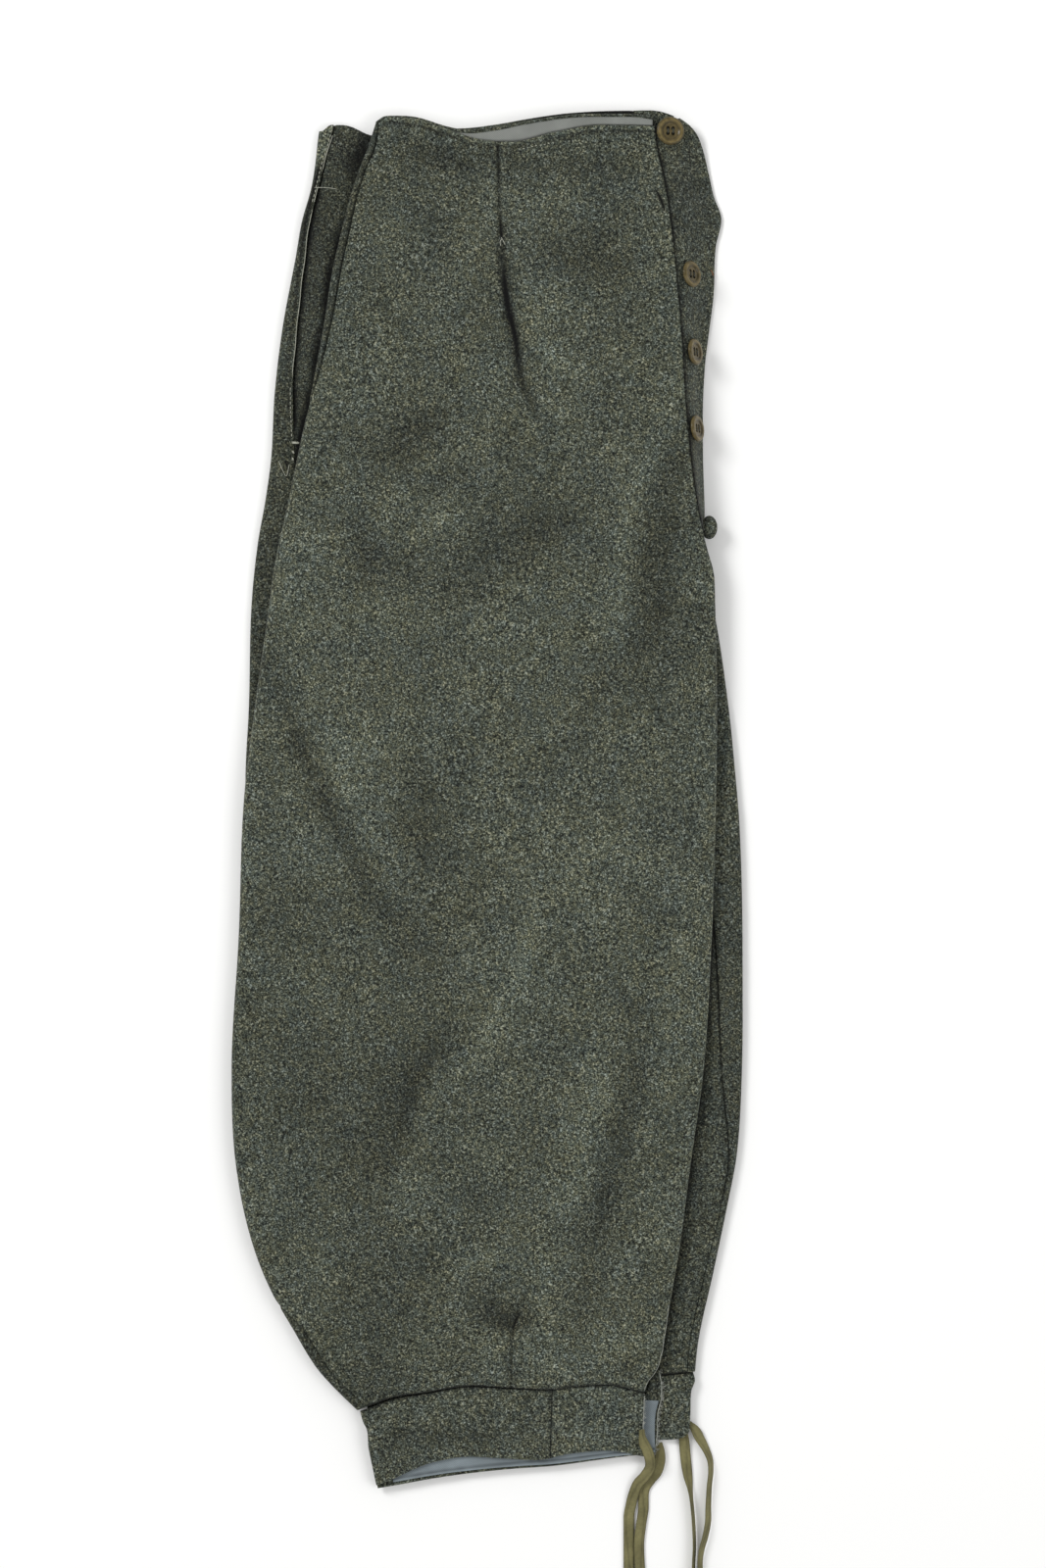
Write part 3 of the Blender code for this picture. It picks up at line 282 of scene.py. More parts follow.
# %% Wool
def wool_finish(name, stops):
    """Felted melange wool: a grain as fine as its fibres, clots of it, slow tone and hue."""
    finish, tree, shader = new_finish(name, 0.95, 0.06)
    place = add_node(tree, "ShaderNodeTexCoord").outputs["Object"]
    fine = noise_at(tree, place, 980, detail=1.0, rough=0.7)
    coarse = noise_at(tree, place, 560, turn=0.7, detail=1.0, rough=0.6)
    fibres = blend_values(tree, "ADD", blend_values(tree, "MULTIPLY", fine, 0.6),
                          blend_values(tree, "MULTIPLY", coarse, 0.4))
    colour = ramp(tree, fibres, stops)
    hue = ramp(tree, noise_at(tree, place, 300, turn=1.3, detail=1.0),
               [(0.36, BLUISH), (0.64, OLIVE)])
    clots = ramp(tree, noise_at(tree, place, 85), [(0.3, (0.91,) * 3), (0.7, (1.09,) * 3)])
    slow = ramp(tree, noise_at(tree, place, 20), [(0.3, (0.93,) * 3), (0.7, (1.07,) * 3)])
    worn = ramp(tree, noise_at(tree, place, 38, turn=0.4, detail=3.0),
                [(0.36, (0.92, 0.95, 0.97)), (0.64, (1.08, 1.06, 0.98))])
    for layer in (hue, clots, slow, worn):
        colour = mixed(tree, "MULTIPLY", 1.0, colour, layer)
    tree.links.new(shaded(tree, colour), shader.inputs["Base Color"])
    pills = noise_at(tree, place, 140, detail=3.0, rough=0.6)
    nap = blend_values(tree, "ADD", fibres, blend_values(tree, "MULTIPLY", pills, 0.8))
    bumped(tree, shader, nap, 0.6, 0.0010)
    return finish


# The hue's two tints, and the fibre ramp's stops from the darkest fibres to the curls
BLUISH, OLIVE = (0.95, 1.0, 1.08), (1.05, 1.0, 0.89)
WOOL_STOPS = [(0.375, (0.004, 0.005, 0.004)), (0.45, (0.028, 0.032, 0.025)),
              (0.515, (0.060, 0.068, 0.051)), (0.575, (0.098, 0.108, 0.082)),
              (0.65, (0.270, 0.283, 0.235))]
wool = wool_finish("field_grey_wool", WOOL_STOPS)
pressed_wool = wool_finish("pressed_wool", [(at, tuple(0.94 * c for c in tone))
                                            for at, tone in WOOL_STOPS])


# %% [markdown]
# Linings and tape are twill: fine diagonal ribs. A Wave texture on the object's own
# coordinates draws them on the flat linings. The tape twists, so its ribs follow its own UV
# map, which runs across and along it.

# %% Twill and tape
def twill_finish(name, dark, light, rib_scale, coordinates):
    """Twill: diagonal ribs between two tones, with a slow change of tone."""
    finish, tree, shader = new_finish(name, 0.85, 0.05)
    place = add_node(tree, "ShaderNodeTexCoord").outputs[coordinates]
    turned = add_node(tree, "ShaderNodeMapping")
    turned.inputs["Rotation"].default_value = (0.0, 0.0, math.radians(40))
    tree.links.new(place, turned.inputs["Vector"])
    ribs = add_node(tree, "ShaderNodeTexWave", Scale=rib_scale, Distortion=0.6, Detail=1.0)
    tree.links.new(turned.outputs["Vector"], ribs.inputs["Vector"])
    colour = ramp(tree, ribs.outputs["Fac"], [(0.0, dark), (1.0, light)])
    slow = noise_at(tree, place, 60 if coordinates == "Object" else 3, detail=3.0)
    tone = ramp(tree, slow, [(0.3, (0.85, 0.85, 0.85)), (0.7, (1.1, 1.1, 1.1))])
    colour = mixed(tree, "MULTIPLY", 1.0, colour, tone)
    tree.links.new(shaded(tree, colour), shader.inputs["Base Color"])
    bumped(tree, shader, ribs.outputs["Fac"], 0.4, 0.0003)
    return finish


grey_twill = twill_finish("grey_twill", (0.148, 0.158, 0.145), (0.250, 0.258, 0.240), 330,
                          "Object")
blue_twill = twill_finish("grey_blue_twill", (0.139, 0.167, 0.183), (0.220, 0.256, 0.272), 330,
                          "Object")
khaki_tape = twill_finish("khaki_tape", (0.140, 0.127, 0.056), (0.212, 0.196, 0.090), 5.0, "UV")


def simple_finish(name, dark, light, scale, roughness):
    """A finish that varies between two tones in small soft patches."""
    finish, tree, shader = new_finish(name, roughness)
    place = add_node(tree, "ShaderNodeTexCoord").outputs["Object"]
    patches = noise_at(tree, place, scale, detail=3.0)
    colour = ramp(tree, patches, [(0.3, dark), (0.7, light)])
    tree.links.new(shaded(tree, colour), shader.inputs["Base Color"])
    bumped(tree, shader, patches, 0.3, 0.0002)
    return finish


# Near-black, for painted shade in the buttonhole's slit
slit_shadow_finish = simple_finish("slit_shadow", (0.003, 0.003, 0.003), (0.008, 0.009, 0.007), 900, 1.0)
horn = simple_finish("brown_button", (0.050, 0.038, 0.012), (0.115, 0.088, 0.036), 260, 0.26)
pale_thread = simple_finish("pale_thread", (0.260, 0.265, 0.215), (0.460, 0.465, 0.390), 900, 0.8)
dark_thread = simple_finish("dark_thread", (0.030, 0.032, 0.026), (0.075, 0.078, 0.062), 900, 0.8)
rust_thread = simple_finish("rust_thread", (0.200, 0.060, 0.020), (0.300, 0.110, 0.050), 900, 0.8)
fray_fibre = simple_finish("frayed_fibre", (0.180, 0.190, 0.165), (0.420, 0.430, 0.390), 500, 0.9)
print("finishes:", sorted(m.name for m in bpy.data.materials))

# %% [markdown]
# ## Curves from a few measured points
#
# Every edge and height in this lesson is a smooth curve through a short table. `smooth` is a
# cubic curve that turns level where the values turn, so it never swings past its points.

# %% Smooth curves
def smooth(keys, values, at):
    """Cubic Hermite curve through (keys, values), level where the values turn."""
    keys, values = np.asarray(keys, float), np.asarray(values, float)
    if keys[0] > keys[-1]:
        keys, values = keys[::-1], values[::-1]
    chord = np.diff(values) / np.diff(keys)
    slope = np.concatenate([chord[:1], (chord[1:] + chord[:-1]) / 2, chord[-1:]])
    turning = np.concatenate([[False], chord[1:] * chord[:-1] <= 0, [False]])
    slope[turning] = 0.0
    at = np.clip(np.asarray(at, float), keys[0], keys[-1])
    i = np.clip(np.searchsorted(keys, at) - 1, 0, len(keys) - 2)
    span = keys[i + 1] - keys[i]
    t = (at - keys[i]) / span
    return (values[i] * (1 + 2 * t) * (1 - t) ** 2 + values[i + 1] * t * t * (3 - 2 * t)
            + slope[i] * span * t * (1 - t) ** 2 - slope[i + 1] * span * t * t * (1 - t))


def column(table, name):
    """One named column of a table."""
    return np.array([getattr(row, name) for row in table], float)


def along(table, name, y):
    """A column of a section table at height y."""
    return smooth(column(table, "y"), column(table, name), y)


def ease(value, start, end):
    """0 up to start, 1 from end on, and an S-curve between them."""
    t = np.clip((value - start) / (end - start), 0, 1)
    return t * t * (3 - 2 * t)


def soft_noise(x, y, size, seed):
    """Random heights from -1 to 1 on a square lattice of one size, joined by S-curves."""
    lattice = np.random.default_rng(seed).uniform(-1, 1, (257, 257))
    u, v = np.asarray(x) / size + 128.0, np.asarray(y) / size + 128.0
    i, j = np.floor(u).astype(int), np.floor(v).astype(int)
    s, t = u - i, v - j
    s, t = s * s * (3 - 2 * s), t * t * (3 - 2 * t)
    i, j = i % 256, j % 256
    low = lattice[i, j] * (1 - s) + lattice[i + 1, j] * s
    high = lattice[i, j + 1] * (1 - s) + lattice[i + 1, j + 1] * s
    return low * (1 - t) + high * t


print("half way up an easing curve:", float(ease(5.0, 0.0, 10.0)))

# %% [markdown]
# ## The tie tapes
#
# Each cuff closes with two lengths of khaki twill tape, 8 mm wide. They lie loose on the
# surface, half turned here and there, and run out of the picture's lower edge, so they end
# plainly just past it. A tape is a flat band carried along a route: at each point the band is
# turned about the route's own direction, and its edges are lifted a little above its middle,
# as woven tape cups. The route's heights let one tape pass over the other.

# %% Tape routes
TapePoint = namedtuple("TapePoint", "x y z turn")
TAPE_WIDTH, TAPE_THICK = 7.6, 0.8
TAPES = {
    "tape_1": [
        (109.6, -451.6, 14.4, 30), (110.0, -457.4, 13.6, 20),
        (111.4, -462.0, 13.0, 12), (113.6, -466.5, 12.6, 0),
        (115.6, -473.0, 11.4, 0), (116.0, -478.0, 8.4, 0),
        (114.7, -482.2, 5.8, 0), (111.4, -487.3, 4.0, 0),
        (107.1, -492.2, 3.2, 0), (104.0, -500.2, 2.2, 0),
        (102.2, -507.9, 1.2, 0), (100.8, -517.7, 0.9, 0),
        (100.8, -535.9, 0.9, 0), (100.8, -550.6, 0.9, 0),
        (101.4, -566.0, 0.9, 0), (102.4, -578.0, 0.9, 0),
    ],
    "tape_2": [
        (121.8, -462.6, 3.7, 0), (123.2, -469.5, 3.2, 0),
        (122.8, -477.0, 2.2, 0), (120.6, -484.0, 1.2, 0),
        (116.0, -489.6, 0.9, 0), (112.2, -495.4, 0.9, 0),
        (111.2, -502.0, 0.9, 0), (111.2, -509.0, 1.1, 4),
        (109.4, -522.0, 1.9, 14), (108.0, -536.0, 1.9, 14),
        (108.5, -550.6, 1.9, 14), (109.6, -565.0, 1.9, 14),
        (110.4, -578.0, 1.9, 14),
    ],
    "tape_3": [
        (139.4, -454.4, 3.05, 0), (140.4, -462.0, 2.4, 0),
        (141.4, -473.0, 1.3, 4), (142.8, -485.0, 2.3, 25),
        (144.6, -496.0, 3.9, 60), (146.0, -508.0, 4.1, 70),
        (147.0, -520.0, 4.1, 70), (147.6, -536.0, 4.1, 70),
        (147.0, -550.6, 4.1, 70), (146.8, -566.0, 4.1, 70),
        (147.2, -578.0, 4.1, 70),
    ],
    "tape_4": [
        (143.4, -448.6, 3.05, 0), (147.8, -452.6, 3.4, 10),
        (151.6, -459.5, 3.8, 30), (156.0, -467.5, 4.0, 48),
        (158.8, -475.0, 4.0, 55), (159.3, -483.0, 4.0, 58),
        (158.2, -494.0, 4.0, 58), (157.5, -508.0, 4.0, 55),
        (157.3, -519.0, 4.0, 52), (155.4, -529.5, 4.0, 52),
        (152.6, -540.0, 4.0, 55), (151.6, -550.6, 4.0, 58),
        (151.8, -566.0, 4.0, 58), (152.6, -578.0, 4.0, 58),
    ],
}
TAPES = {name: [TapePoint(*row) for row in rows] for name, rows in TAPES.items()}


# %% Tape along its route
def tape_piece(name, route, finish, pinch, steps=150, across=9):
    """A band carried along a smooth route, turned about it and pinched at its start."""
    keys = np.arange(len(route), dtype=float)
    at = np.linspace(0, keys[-1], steps)
    middle = np.stack([smooth(keys, column(route, n), at) for n in ("x", "y", "z")], axis=1)
    turn = np.radians(smooth(keys, column(route, "turn"), at))
    ahead = np.gradient(middle, axis=0)
    ahead /= np.linalg.norm(ahead, axis=1, keepdims=True)
    side = np.cross(ahead, [0.0, 0.0, 1.0])
    side /= np.linalg.norm(side, axis=1, keepdims=True)
    up = np.cross(side, ahead)
    wide = side * np.cos(turn)[:, None] + up * np.sin(turn)[:, None]
    facing = np.cross(wide, ahead)
    facing *= np.sign(facing[:, 2:] + 1e-9)
    share = np.linspace(-1, 1, across)
    ring_wide = np.concatenate([share, share[::-1]]) * TAPE_WIDTH / 2
    width = pinch + (1 - pinch) * ease(np.linspace(0, 1, steps), 0.02, 0.14)
    cup = 0.25 * (share ** 2 - 0.4)
    half = TAPE_THICK / 2 * np.sqrt(1.02 - share ** 4)
    ring_high = np.concatenate([cup + half, (cup - half)[::-1]])
    points = (middle[:, None] + wide[:, None] * (width[:, None] * ring_wide[None, :])[..., None]
              + facing[:, None] * ring_high[None, :, None])
    sides = 2 * across
    r, k = np.meshgrid(np.arange(steps - 1), np.arange(sides), indexing="ij")
    n = (k + 1) % sides
    quads = np.stack([r * sides + k, (r + 1) * sides + k, (r + 1) * sides + n,
                      r * sides + n], axis=-1).reshape(-1, 4)
    j = np.arange(across - 1)
    first = np.stack([j, j + 1, sides - 2 - j, sides - 1 - j], axis=1)
    last = first[:, ::-1] + (steps - 1) * sides
    quads = turned_out(points, np.concatenate([quads, first, last]))
    tape = mesh_object(name, points, quads, finish)
    run = np.concatenate([[0], np.cumsum(np.linalg.norm(np.diff(middle, axis=0), axis=1))])
    uv = np.stack([np.broadcast_to(np.concatenate([share, share[::-1]]) / 2 + 0.5,
                                   (steps, sides)),
                   np.broadcast_to(run[:, None] / TAPE_WIDTH, (steps, sides))], axis=-1)
    layer = tape.data.uv_layers.new(name="along")
    corner = np.zeros(len(tape.data.loops), dtype=int)
    tape.data.loops.foreach_get("vertex_index", corner)
    layer.data.foreach_set("uv", uv.reshape(-1, 2)[corner].ravel())
    across_it = np.concatenate([share, share[::-1]])[None, :]
    # Darker at both edges, painted shade along a crease that wanders across the tape, and soft
    # patches of painted light and shade where it twists.
    creased = np.exp(-((across_it - 0.55 * np.sin(run[:, None] / 17.0 + len(route))) / 0.16) ** 2)
    twist_light_and_shade = soft_noise(run[:, None] + 0 * across_it, 3 * across_it + 0 * run[:, None], 9.0, 21)
    shade = -0.42 * np.abs(across_it) ** 8 - 0.38 * creased + 0.20 * twist_light_and_shade
    store_shade(tape, shade)
    return tape, middle * MM, run[-1] * MM


# Share of its width that each tape is gathered to where it leaves the cuff
PINCH = {"tape_1": 0.62, "tape_2": 0.75, "tape_3": 0.9, "tape_4": 0.6}
for name, route in TAPES.items():
    tape, path, length = tape_piece(name + "_twill", route, khaki_tape, PINCH[name])
    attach(tape, "root")
    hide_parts(name)
    print(name, "length, mm:", round(length / MM))

# %% [markdown]
# ## The two folded legs
#
# The trousers are folded lengthwise along the centre. The lower, left leg lies with its back
# up: its front's cloth wraps round both edges and meets the back in two seams. The upper,
# right leg lies on it with its front up. Sections down each leg give its edges and heights.
# Between the edges the upper leg's cloth is a parabola through three heights, which rolls
# down at each side in a quarter circle.

# %% Sections of the upper leg
LegSection = namedtuple("LegSection", "y left front right z_left z_mid z_right lean")
UPPER_LEG = [LegSection(*row) for row in (
    (482.0, -81.0, -77.6, 118.5, 15.5, 15.5, 15.5, 25),
    (463.0, -87.2, -80.4, 120.6, 16.0, 16.5, 18.0, 30),
    (449.5, -92.5, -86.4, 123.4, 16.0, 17.5, 21.0, 35),
    (431.5, -98.6, -92.2, 126.8, 16.0, 18.0, 25.0, 35),
    (398.5, -107.0, -99.8, 131.3, 16.0, 18.5, 26.5, 35),
    (377.0, -111.9, -104.4, 133.6, 16.0, 19.0, 27.0, 35),
    (338.5, -118.0, -111.4, 137.0, 16.0, 19.5, 27.0, 35),
    (265.5, -131.8, -129.6, 142.0, 16.0, 20.5, 26.0, 35),
    (214.5, -142.4, -140.4, 148.0, 16.0, 21.0, 25.0, 40),
    (196.0, -146.4, -144.4, 151.5, 16.0, 21.0, 24.0, 50),
    (176.0, -150.9, -148.9, 156.5, 16.0, 21.0, 22.0, 70),
    (160.0, -153.8, -151.8, 161.0, 16.0, 21.0, 21.0, 85),
    (139.5, -156.5, -154.5, 162.0, 16.0, 21.0, 20.0, 90),
    (65.5, -166.8, -164.8, 163.5, 15.5, 21.0, 18.5, 90),
    (-1.0, -174.7, -172.7, 162.8, 15.0, 21.0, 18.0, 90),
    (-99.0, -178.5, -176.5, 159.8, 14.5, 20.5, 17.5, 90),
    (-195.5, -183.6, -181.6, 153.9, 14.5, 20.0, 17.0, 90),
    (-263.0, -180.5, -178.5, 144.6, 14.5, 20.0, 16.5, 90),
    (-322.0, -167.8, -165.8, 136.9, 14.5, 19.0, 16.0, 90),
    (-361.0, -151.3, -148.8, 130.2, 14.5, 18.0, 15.5, 90),
    (-381.0, -139.8, -130.8, 127.2, 14.5, 17.0, 15.0, 90),
    (-403.0, -126.8, -116.9, 123.4, 14.5, 15.5, 14.5, 90),
    (-411.0, -121.0, -111.0, 120.0, 14.5, 15.0, 14.3, 90),
    (-418.0, -114.8, -104.5, 114.5, 14.2, 14.2, 14.1, 90),
    (-426.0, -107.0, -96.3, 112.0, 14.0, 14.0, 14.0, 90),
    (-438.0, -94.6, -84.5, 111.5, 13.8, 13.8, 13.8, 90),
)]

# %% Sections of the lower leg
LowerSection = namedtuple("LowerSection", "y left seam_left seam_right right z_left z_right")
LOWER_LEG = [LowerSection(*row) for row in (
    (490.0, -118.5, -109.0, 104.0, 133.0, 7.0, 5.5),
    (475.0, -121.5, -111.0, 104.0, 134.0, 7.0, 5.5),
    (453.0, -124.0, -117.5, 108.0, 143.0, 7.5, 5.5),
    (435.5, -127.0, -121.8, 112.0, 149.0, 7.5, 5.5),
    (412.5, -133.5, -127.5, 116.0, 154.0, 7.5, 5.5),
    (386.5, -138.0, -131.0, 119.0, 154.0, 7.5, 5.5),
    (338.5, -147.0, -136.5, 122.0, 150.5, 7.5, 5.5),
    (289.5, -153.0, -140.0, 124.0, 147.0, 7.5, 5.5),
    (243.0, -155.5, -138.5, 126.0, 146.0, 7.5, 5.5),
    (213.5, -159.5, -138.0, 130.0, 147.0, 7.0, 5.5),
    (182.5, -165.0, -138.5, 136.0, 149.0, 6.5, 6.0),
    (139.5, -169.5, -141.0, 144.0, 160.5, 6.5, 6.5),
    (65.5, -171.5, -144.0, 150.5, 172.0, 6.0, 7.5),
    (11.0, -174.0, -145.5, 154.0, 177.5, 5.5, 7.5),
    (-20.0, -171.5, -147.0, 156.0, 180.0, 5.0, 7.5),
    (-116.5, -173.5, -149.0, 163.5, 182.2, 5.0, 7.5),
    (-200.5, -178.5, -152.0, 167.6, 181.6, 5.0, 7.0),
    (-256.5, -175.5, -149.0, 172.4, 178.0, 5.0, 7.0),
    (-291.5, -170.5, -143.0, 167.0, 171.5, 5.0, 6.5),
    (-342.5, -154.0, -127.0, 155.0, 160.8, 5.0, 6.5),
    (-390.0, -128.0, -102.0, 144.5, 150.5, 5.0, 6.5),
    (-434.0, -90.0, -76.0, 141.5, 146.5, 5.0, 6.0),
)]

# %% Crosswise edges
EdgePoint = namedtuple("EdgePoint", "x y")


def edge(*pairs):
    """An edge across the garment, from left to right."""
    return [EdgePoint(*pair) for pair in pairs]


FRONT_WAIST = edge((-77.6, 481.5), (-72, 485.5), (-52, 484.8), (-29, 477.0), (-6, 469.5),
                   (18, 468.2), (48, 475.0), (81, 480.2), (118.5, 479.5))
BACK_WAIST = edge((-81.0, 482.6), (-72, 486.8), (-52, 486.1), (-29, 479.2), (-14, 476.8),
                  (6, 479.0), (27, 483.2), (60, 487.7), (102, 488.2), (118.5, 486.0))
LOWER_WAIST = edge((-118.5, 477.0), (-112, 481.5), (-100, 480.7), (-82, 474.0), (-50, 478.5),
                   (-14, 479.6), (9, 482.6), (29, 486.2), (60, 490.4), (104, 491.8),
                   (122, 491.5), (133.0, 488.0))
LEG_HEM = edge((-94.6, -438.5), (-84.5, -434.8), (-68, -429.0), (-46, -425.5), (-12, -420.6),
               (16, -422.2), (46, -423.4), (56, -421.8), (85, -420.0), (106, -424.2),
               (111.5, -425.5))
LOWER_HEM = edge((-90.0, -434.0), (-60, -424.0), (0, -416.5), (60, -415.0), (124, -413.7),
                 (146.5, -411.3))


def edge_y(points, x):
    """Height on the garment of a crosswise edge at x."""
    return smooth(column(points, "x"), column(points, "y"), x)


print("length from waist to hem, mm:", round(FRONT_WAIST[0].y - LEG_HEM[0].y))

# %% [markdown]
# ## Folds
#
# Soft creases make the flat cloth look like cloth. The large folds are bell-shaped troughs or
# crests carried from one point to another, bowed sideways in their middle and fading at both
# ends. The finer creases bend through several points, and add painted shade in their troughs
# and painted highlights on their crests as well as height; the large folds add a little of
# the same. All of them are those of the photograph; soft noise on three scales adds the small
# unevenness that felted wool keeps wherever it lies.

# %% Fold table
Fold = namedtuple("Fold", "x0 y0 x1 y1 bow height width")
FOLDS = [Fold(*row) for row in (
    (12, 400, 34, 262, -8, -2.4, 22),       # crease below the waist dart
    (40, 395, 62, 270, -6, 1.0, 28),        # cloth puffed beside it
    (-152, 100, -38, -124, 14, -2.6, 28),   # long crease across the thigh
    (-120, 120, -10, -110, 14, 1.6, 34),    # crest on its upper side
    (18, -152, -60, -190, -4, -1.8, 22),
    (-58, -190, -70, -262, 4, -2.0, 22),
    (-30, -180, -44, -262, 4, 1.4, 26),
    (110, -146, 66, -372, -6, -2.0, 26),    # trough down the inner calf
    (84, -150, 36, -340, -6, 1.4, 32),
    (134, 262, 120, 182, -4, -1.8, 22),     # pull below the fly
    (92, 200, 86, 110, 4, 1.4, 32),
    (-10, 248, -52, 208, 2, -1.6, 22),
    (-60, 455, -6, 440, -4, -1.6, 22),      # slack below the waist edge
    (16, 446, 92, 450, -4, -1.4, 22),
    (72, 384, 102, 356, 2, -1.2, 28),
    (18, -352, 22, -376, 0, -2.4, 22),      # hollow at the tip of the hem dart
    (-70, -398, 90, -396, 4, 1.6, 22),      # cloth bloused over the cuff
)]
FOLD_RADIUS, EDGE_ZONE = 5.0, 30.0
WOOL, PRESSED_WOOL, LINING = 2.0, 1.8, 1.0     # walls

# Creases that bend on their way: width and height of the bell across, painted light (shade
# below 0, highlight above 0), points
Crease = namedtuple("Crease", "width height tone points")
CREASES = [Crease(*row) for row in (
    (3.4, -1.6, -1.10, [(9.3, 408), (10.5, 380), (15, 345), (19, 331), (23, 301), (35, 270)]),
    (9, 0.9, 0.40, [(28, 328), (48, 313), (78, 298)]),
    (13, 0.6, 0.20, [(24, 392), (36, 350), (46, 318)]),
    (12, -1.0, -0.42, [(-66, 464), (-30, 457), (4, 452)]),       # slack below the waist
    (12, -1.0, -0.36, [(12, 455), (60, 449), (106, 446)]),
    (12, -0.6, -0.30, [(-60, 428), (-44, 416), (-30, 404)]),
    (18, -0.6, -0.34, [(34, 402), (66, 388), (106, 370)]),
    (13, -0.8, -0.34, [(-22, 284), (-56, 258), (-84, 236)]),
    (11, -0.6, -0.30, [(-92, 214), (-88, 176), (-80, 134)]),
    (9, 0.7, 0.28, [(-66, 204), (-44, 226), (-18, 243)]),
    (8, -0.7, -0.32, [(-14, 240), (-34, 228), (-52, 216)]),
    (10, 0.7, 0.28, [(-55, 180), (-34, 196), (-8, 209)]),
    (19, -0.8, -0.36, [(-32, 146), (12, 176), (66, 206)]),
    (9, 1.0, 0.36, [(138, 323), (133, 285), (116, 241), (100, 197), (92, 148), (89, 112)]),
    (16, -0.9, -0.44, [(134, 262), (126, 210), (118, 150), (112, 84)]),
    (9, -1.5, -0.40, [(-160, 96), (-130, 33), (-108, -21), (-81, -70), (-52, -110)]),
    (14, 1.0, 0.24, [(-142, 155), (-130, 88), (-106, 22), (-74, -44)]),
    (14, -0.6, -0.26, [(-62, 40), (-50, -10), (-41, -56)]),
    (9, 1.0, 0.34, [(46, -42), (29, -98), (18, -141), (-10, -185), (-52, -230)]),
    (10, -1.2, -0.34, [(-18, -150), (-52, -206), (-70, -270)]),
    (12, 0.6, 0.24, [(-50, -262), (-64, -300)]),
    (11, -1.3, -0.36, [(120, -120), (101, -218), (89, -262), (78, -316), (62, -392)]),
    (16, 0.9, 0.24, [(84, -150), (68, -250), (52, -320)]),
    (11, -1.8, -0.66, [(-8, -360), (15, -374), (34, -370)]),     # hollow at the hem dart
    (9, 0.8, 0.34, [(-34, -346), (-8, -330), (26, -326)]),
    (7, 0.6, 0.30, [(40, -310), (42, -345), (38, -378)]),
    (10, -0.7, -0.34, [(-26, -386), (-18, -400), (-10, -416)]),
    (13, 0.8, 0.38, [(26, -392), (50, -404), (76, -412)]),
    (13, 0.8, 0.38, [(72, -384), (98, -388), (119, -396)]),
    (8, -0.6, -0.34, [(88, -408), (102, -405), (114, -402)]),
)]
DEEPEST_FOLD = 3.3      # troughs are eased towards this depth
CREASE_STEPS = 24      # straight runs that a crease is drawn with


def folds_at(x, y, table):
    """Sum of a table's folds: a bell across each one, fading out towards its two ends."""
    total = np.zeros_like(x)
    for fold in table:
        dx, dy = fold.x1 - fold.x0, fold.y1 - fold.y0
        length = math.hypot(dx, dy)
        t = ((x - fold.x0) * dx + (y - fold.y0) * dy) / length ** 2
        side = ((x - fold.x0) * dy - (y - fold.y0) * dx) / length
        inside = np.clip(t, 0.0, 1.0)
        side = side - fold.bow * 4 * inside * (1 - inside)
        past = (t - inside) * length
        fade = 0.35 + 0.65 * np.sin(np.pi * inside)
        total += fold.height * fade * np.exp(-(side ** 2 + past ** 2) / (fold.width / 1.6) ** 2)
    return total


def creases_at(x, y, table):
    """Height, and painted shade and highlight, of all creases: a bell of the distance to each
    smoothed line.
    """
    height, tone = np.zeros_like(x), np.zeros_like(x)
    for crease in table:
        line = np.array(crease.points, float)
        steps = np.concatenate([[0], np.cumsum(np.linalg.norm(np.diff(line, axis=0), axis=1))])
        at = np.linspace(0, steps[-1], CREASE_STEPS + 1)
        line = np.stack([smooth(steps, line[:, 0], at), smooth(steps, line[:, 1], at)], axis=1)
        near, where = np.full(x.shape, np.inf), np.zeros_like(x)
        for k, (start, end) in enumerate(zip(line[:-1], line[1:])):
            run = end - start
            t = np.clip(((x - start[0]) * run[0] + (y - start[1]) * run[1]) / run.dot(run), 0, 1)
            away = np.hypot(x - start[0] - t * run[0], y - start[1] - t * run[1])
            closer = away < near
            where = np.where(closer, (k + t) / CREASE_STEPS, where)
            near = np.where(closer, away, near)
        bell = np.exp(-(near / crease.width) ** 2) * (0.3 + 0.7 * np.sin(np.pi * where))
        height += crease.height * bell
        tone += crease.tone * bell
    return height, tone


def roll(distance, radius, lean=90.0):
    """How far cloth has dropped at a distance from an edge that turns down by an angle."""
    reach = radius * np.sin(np.radians(lean))
    inside = np.clip(reach - distance, 0.0, radius)
    return radius - np.sqrt(radius ** 2 - inside ** 2)


# %% Surfaces of the two legs
def edge_fade(x, y):
    """0 at the upper leg's side edges and 1 away from them."""
    left, right = along(UPPER_LEG, "left", y), along(UPPER_LEG, "right", y)
    return np.clip((x - left) / EDGE_ZONE, 0, 1) * np.clip((right - x) / EDGE_ZONE, 0, 1)


def upper_form(x, y):
    """Upper leg without folds: a parabola through three heights, rolled down at both sides."""
    left, right = along(UPPER_LEG, "left", y), along(UPPER_LEG, "right", y)
    z_left, z_mid, z_right = (along(UPPER_LEG, n, y) for n in ("z_left", "z_mid", "z_right"))
    s = (x - left) / (right - left)
    crown = z_left * (1 - s) * (1 - 2 * s) + z_mid * 4 * s * (1 - s) + z_right * s * (2 * s - 1)
    lean = along(UPPER_LEG, "lean", y)
    return crown - roll(x - left, FOLD_RADIUS) - roll(right - x, FOLD_RADIUS, lean)


LOWER_LEG_TOP, RELAX = 4.3, 45.0


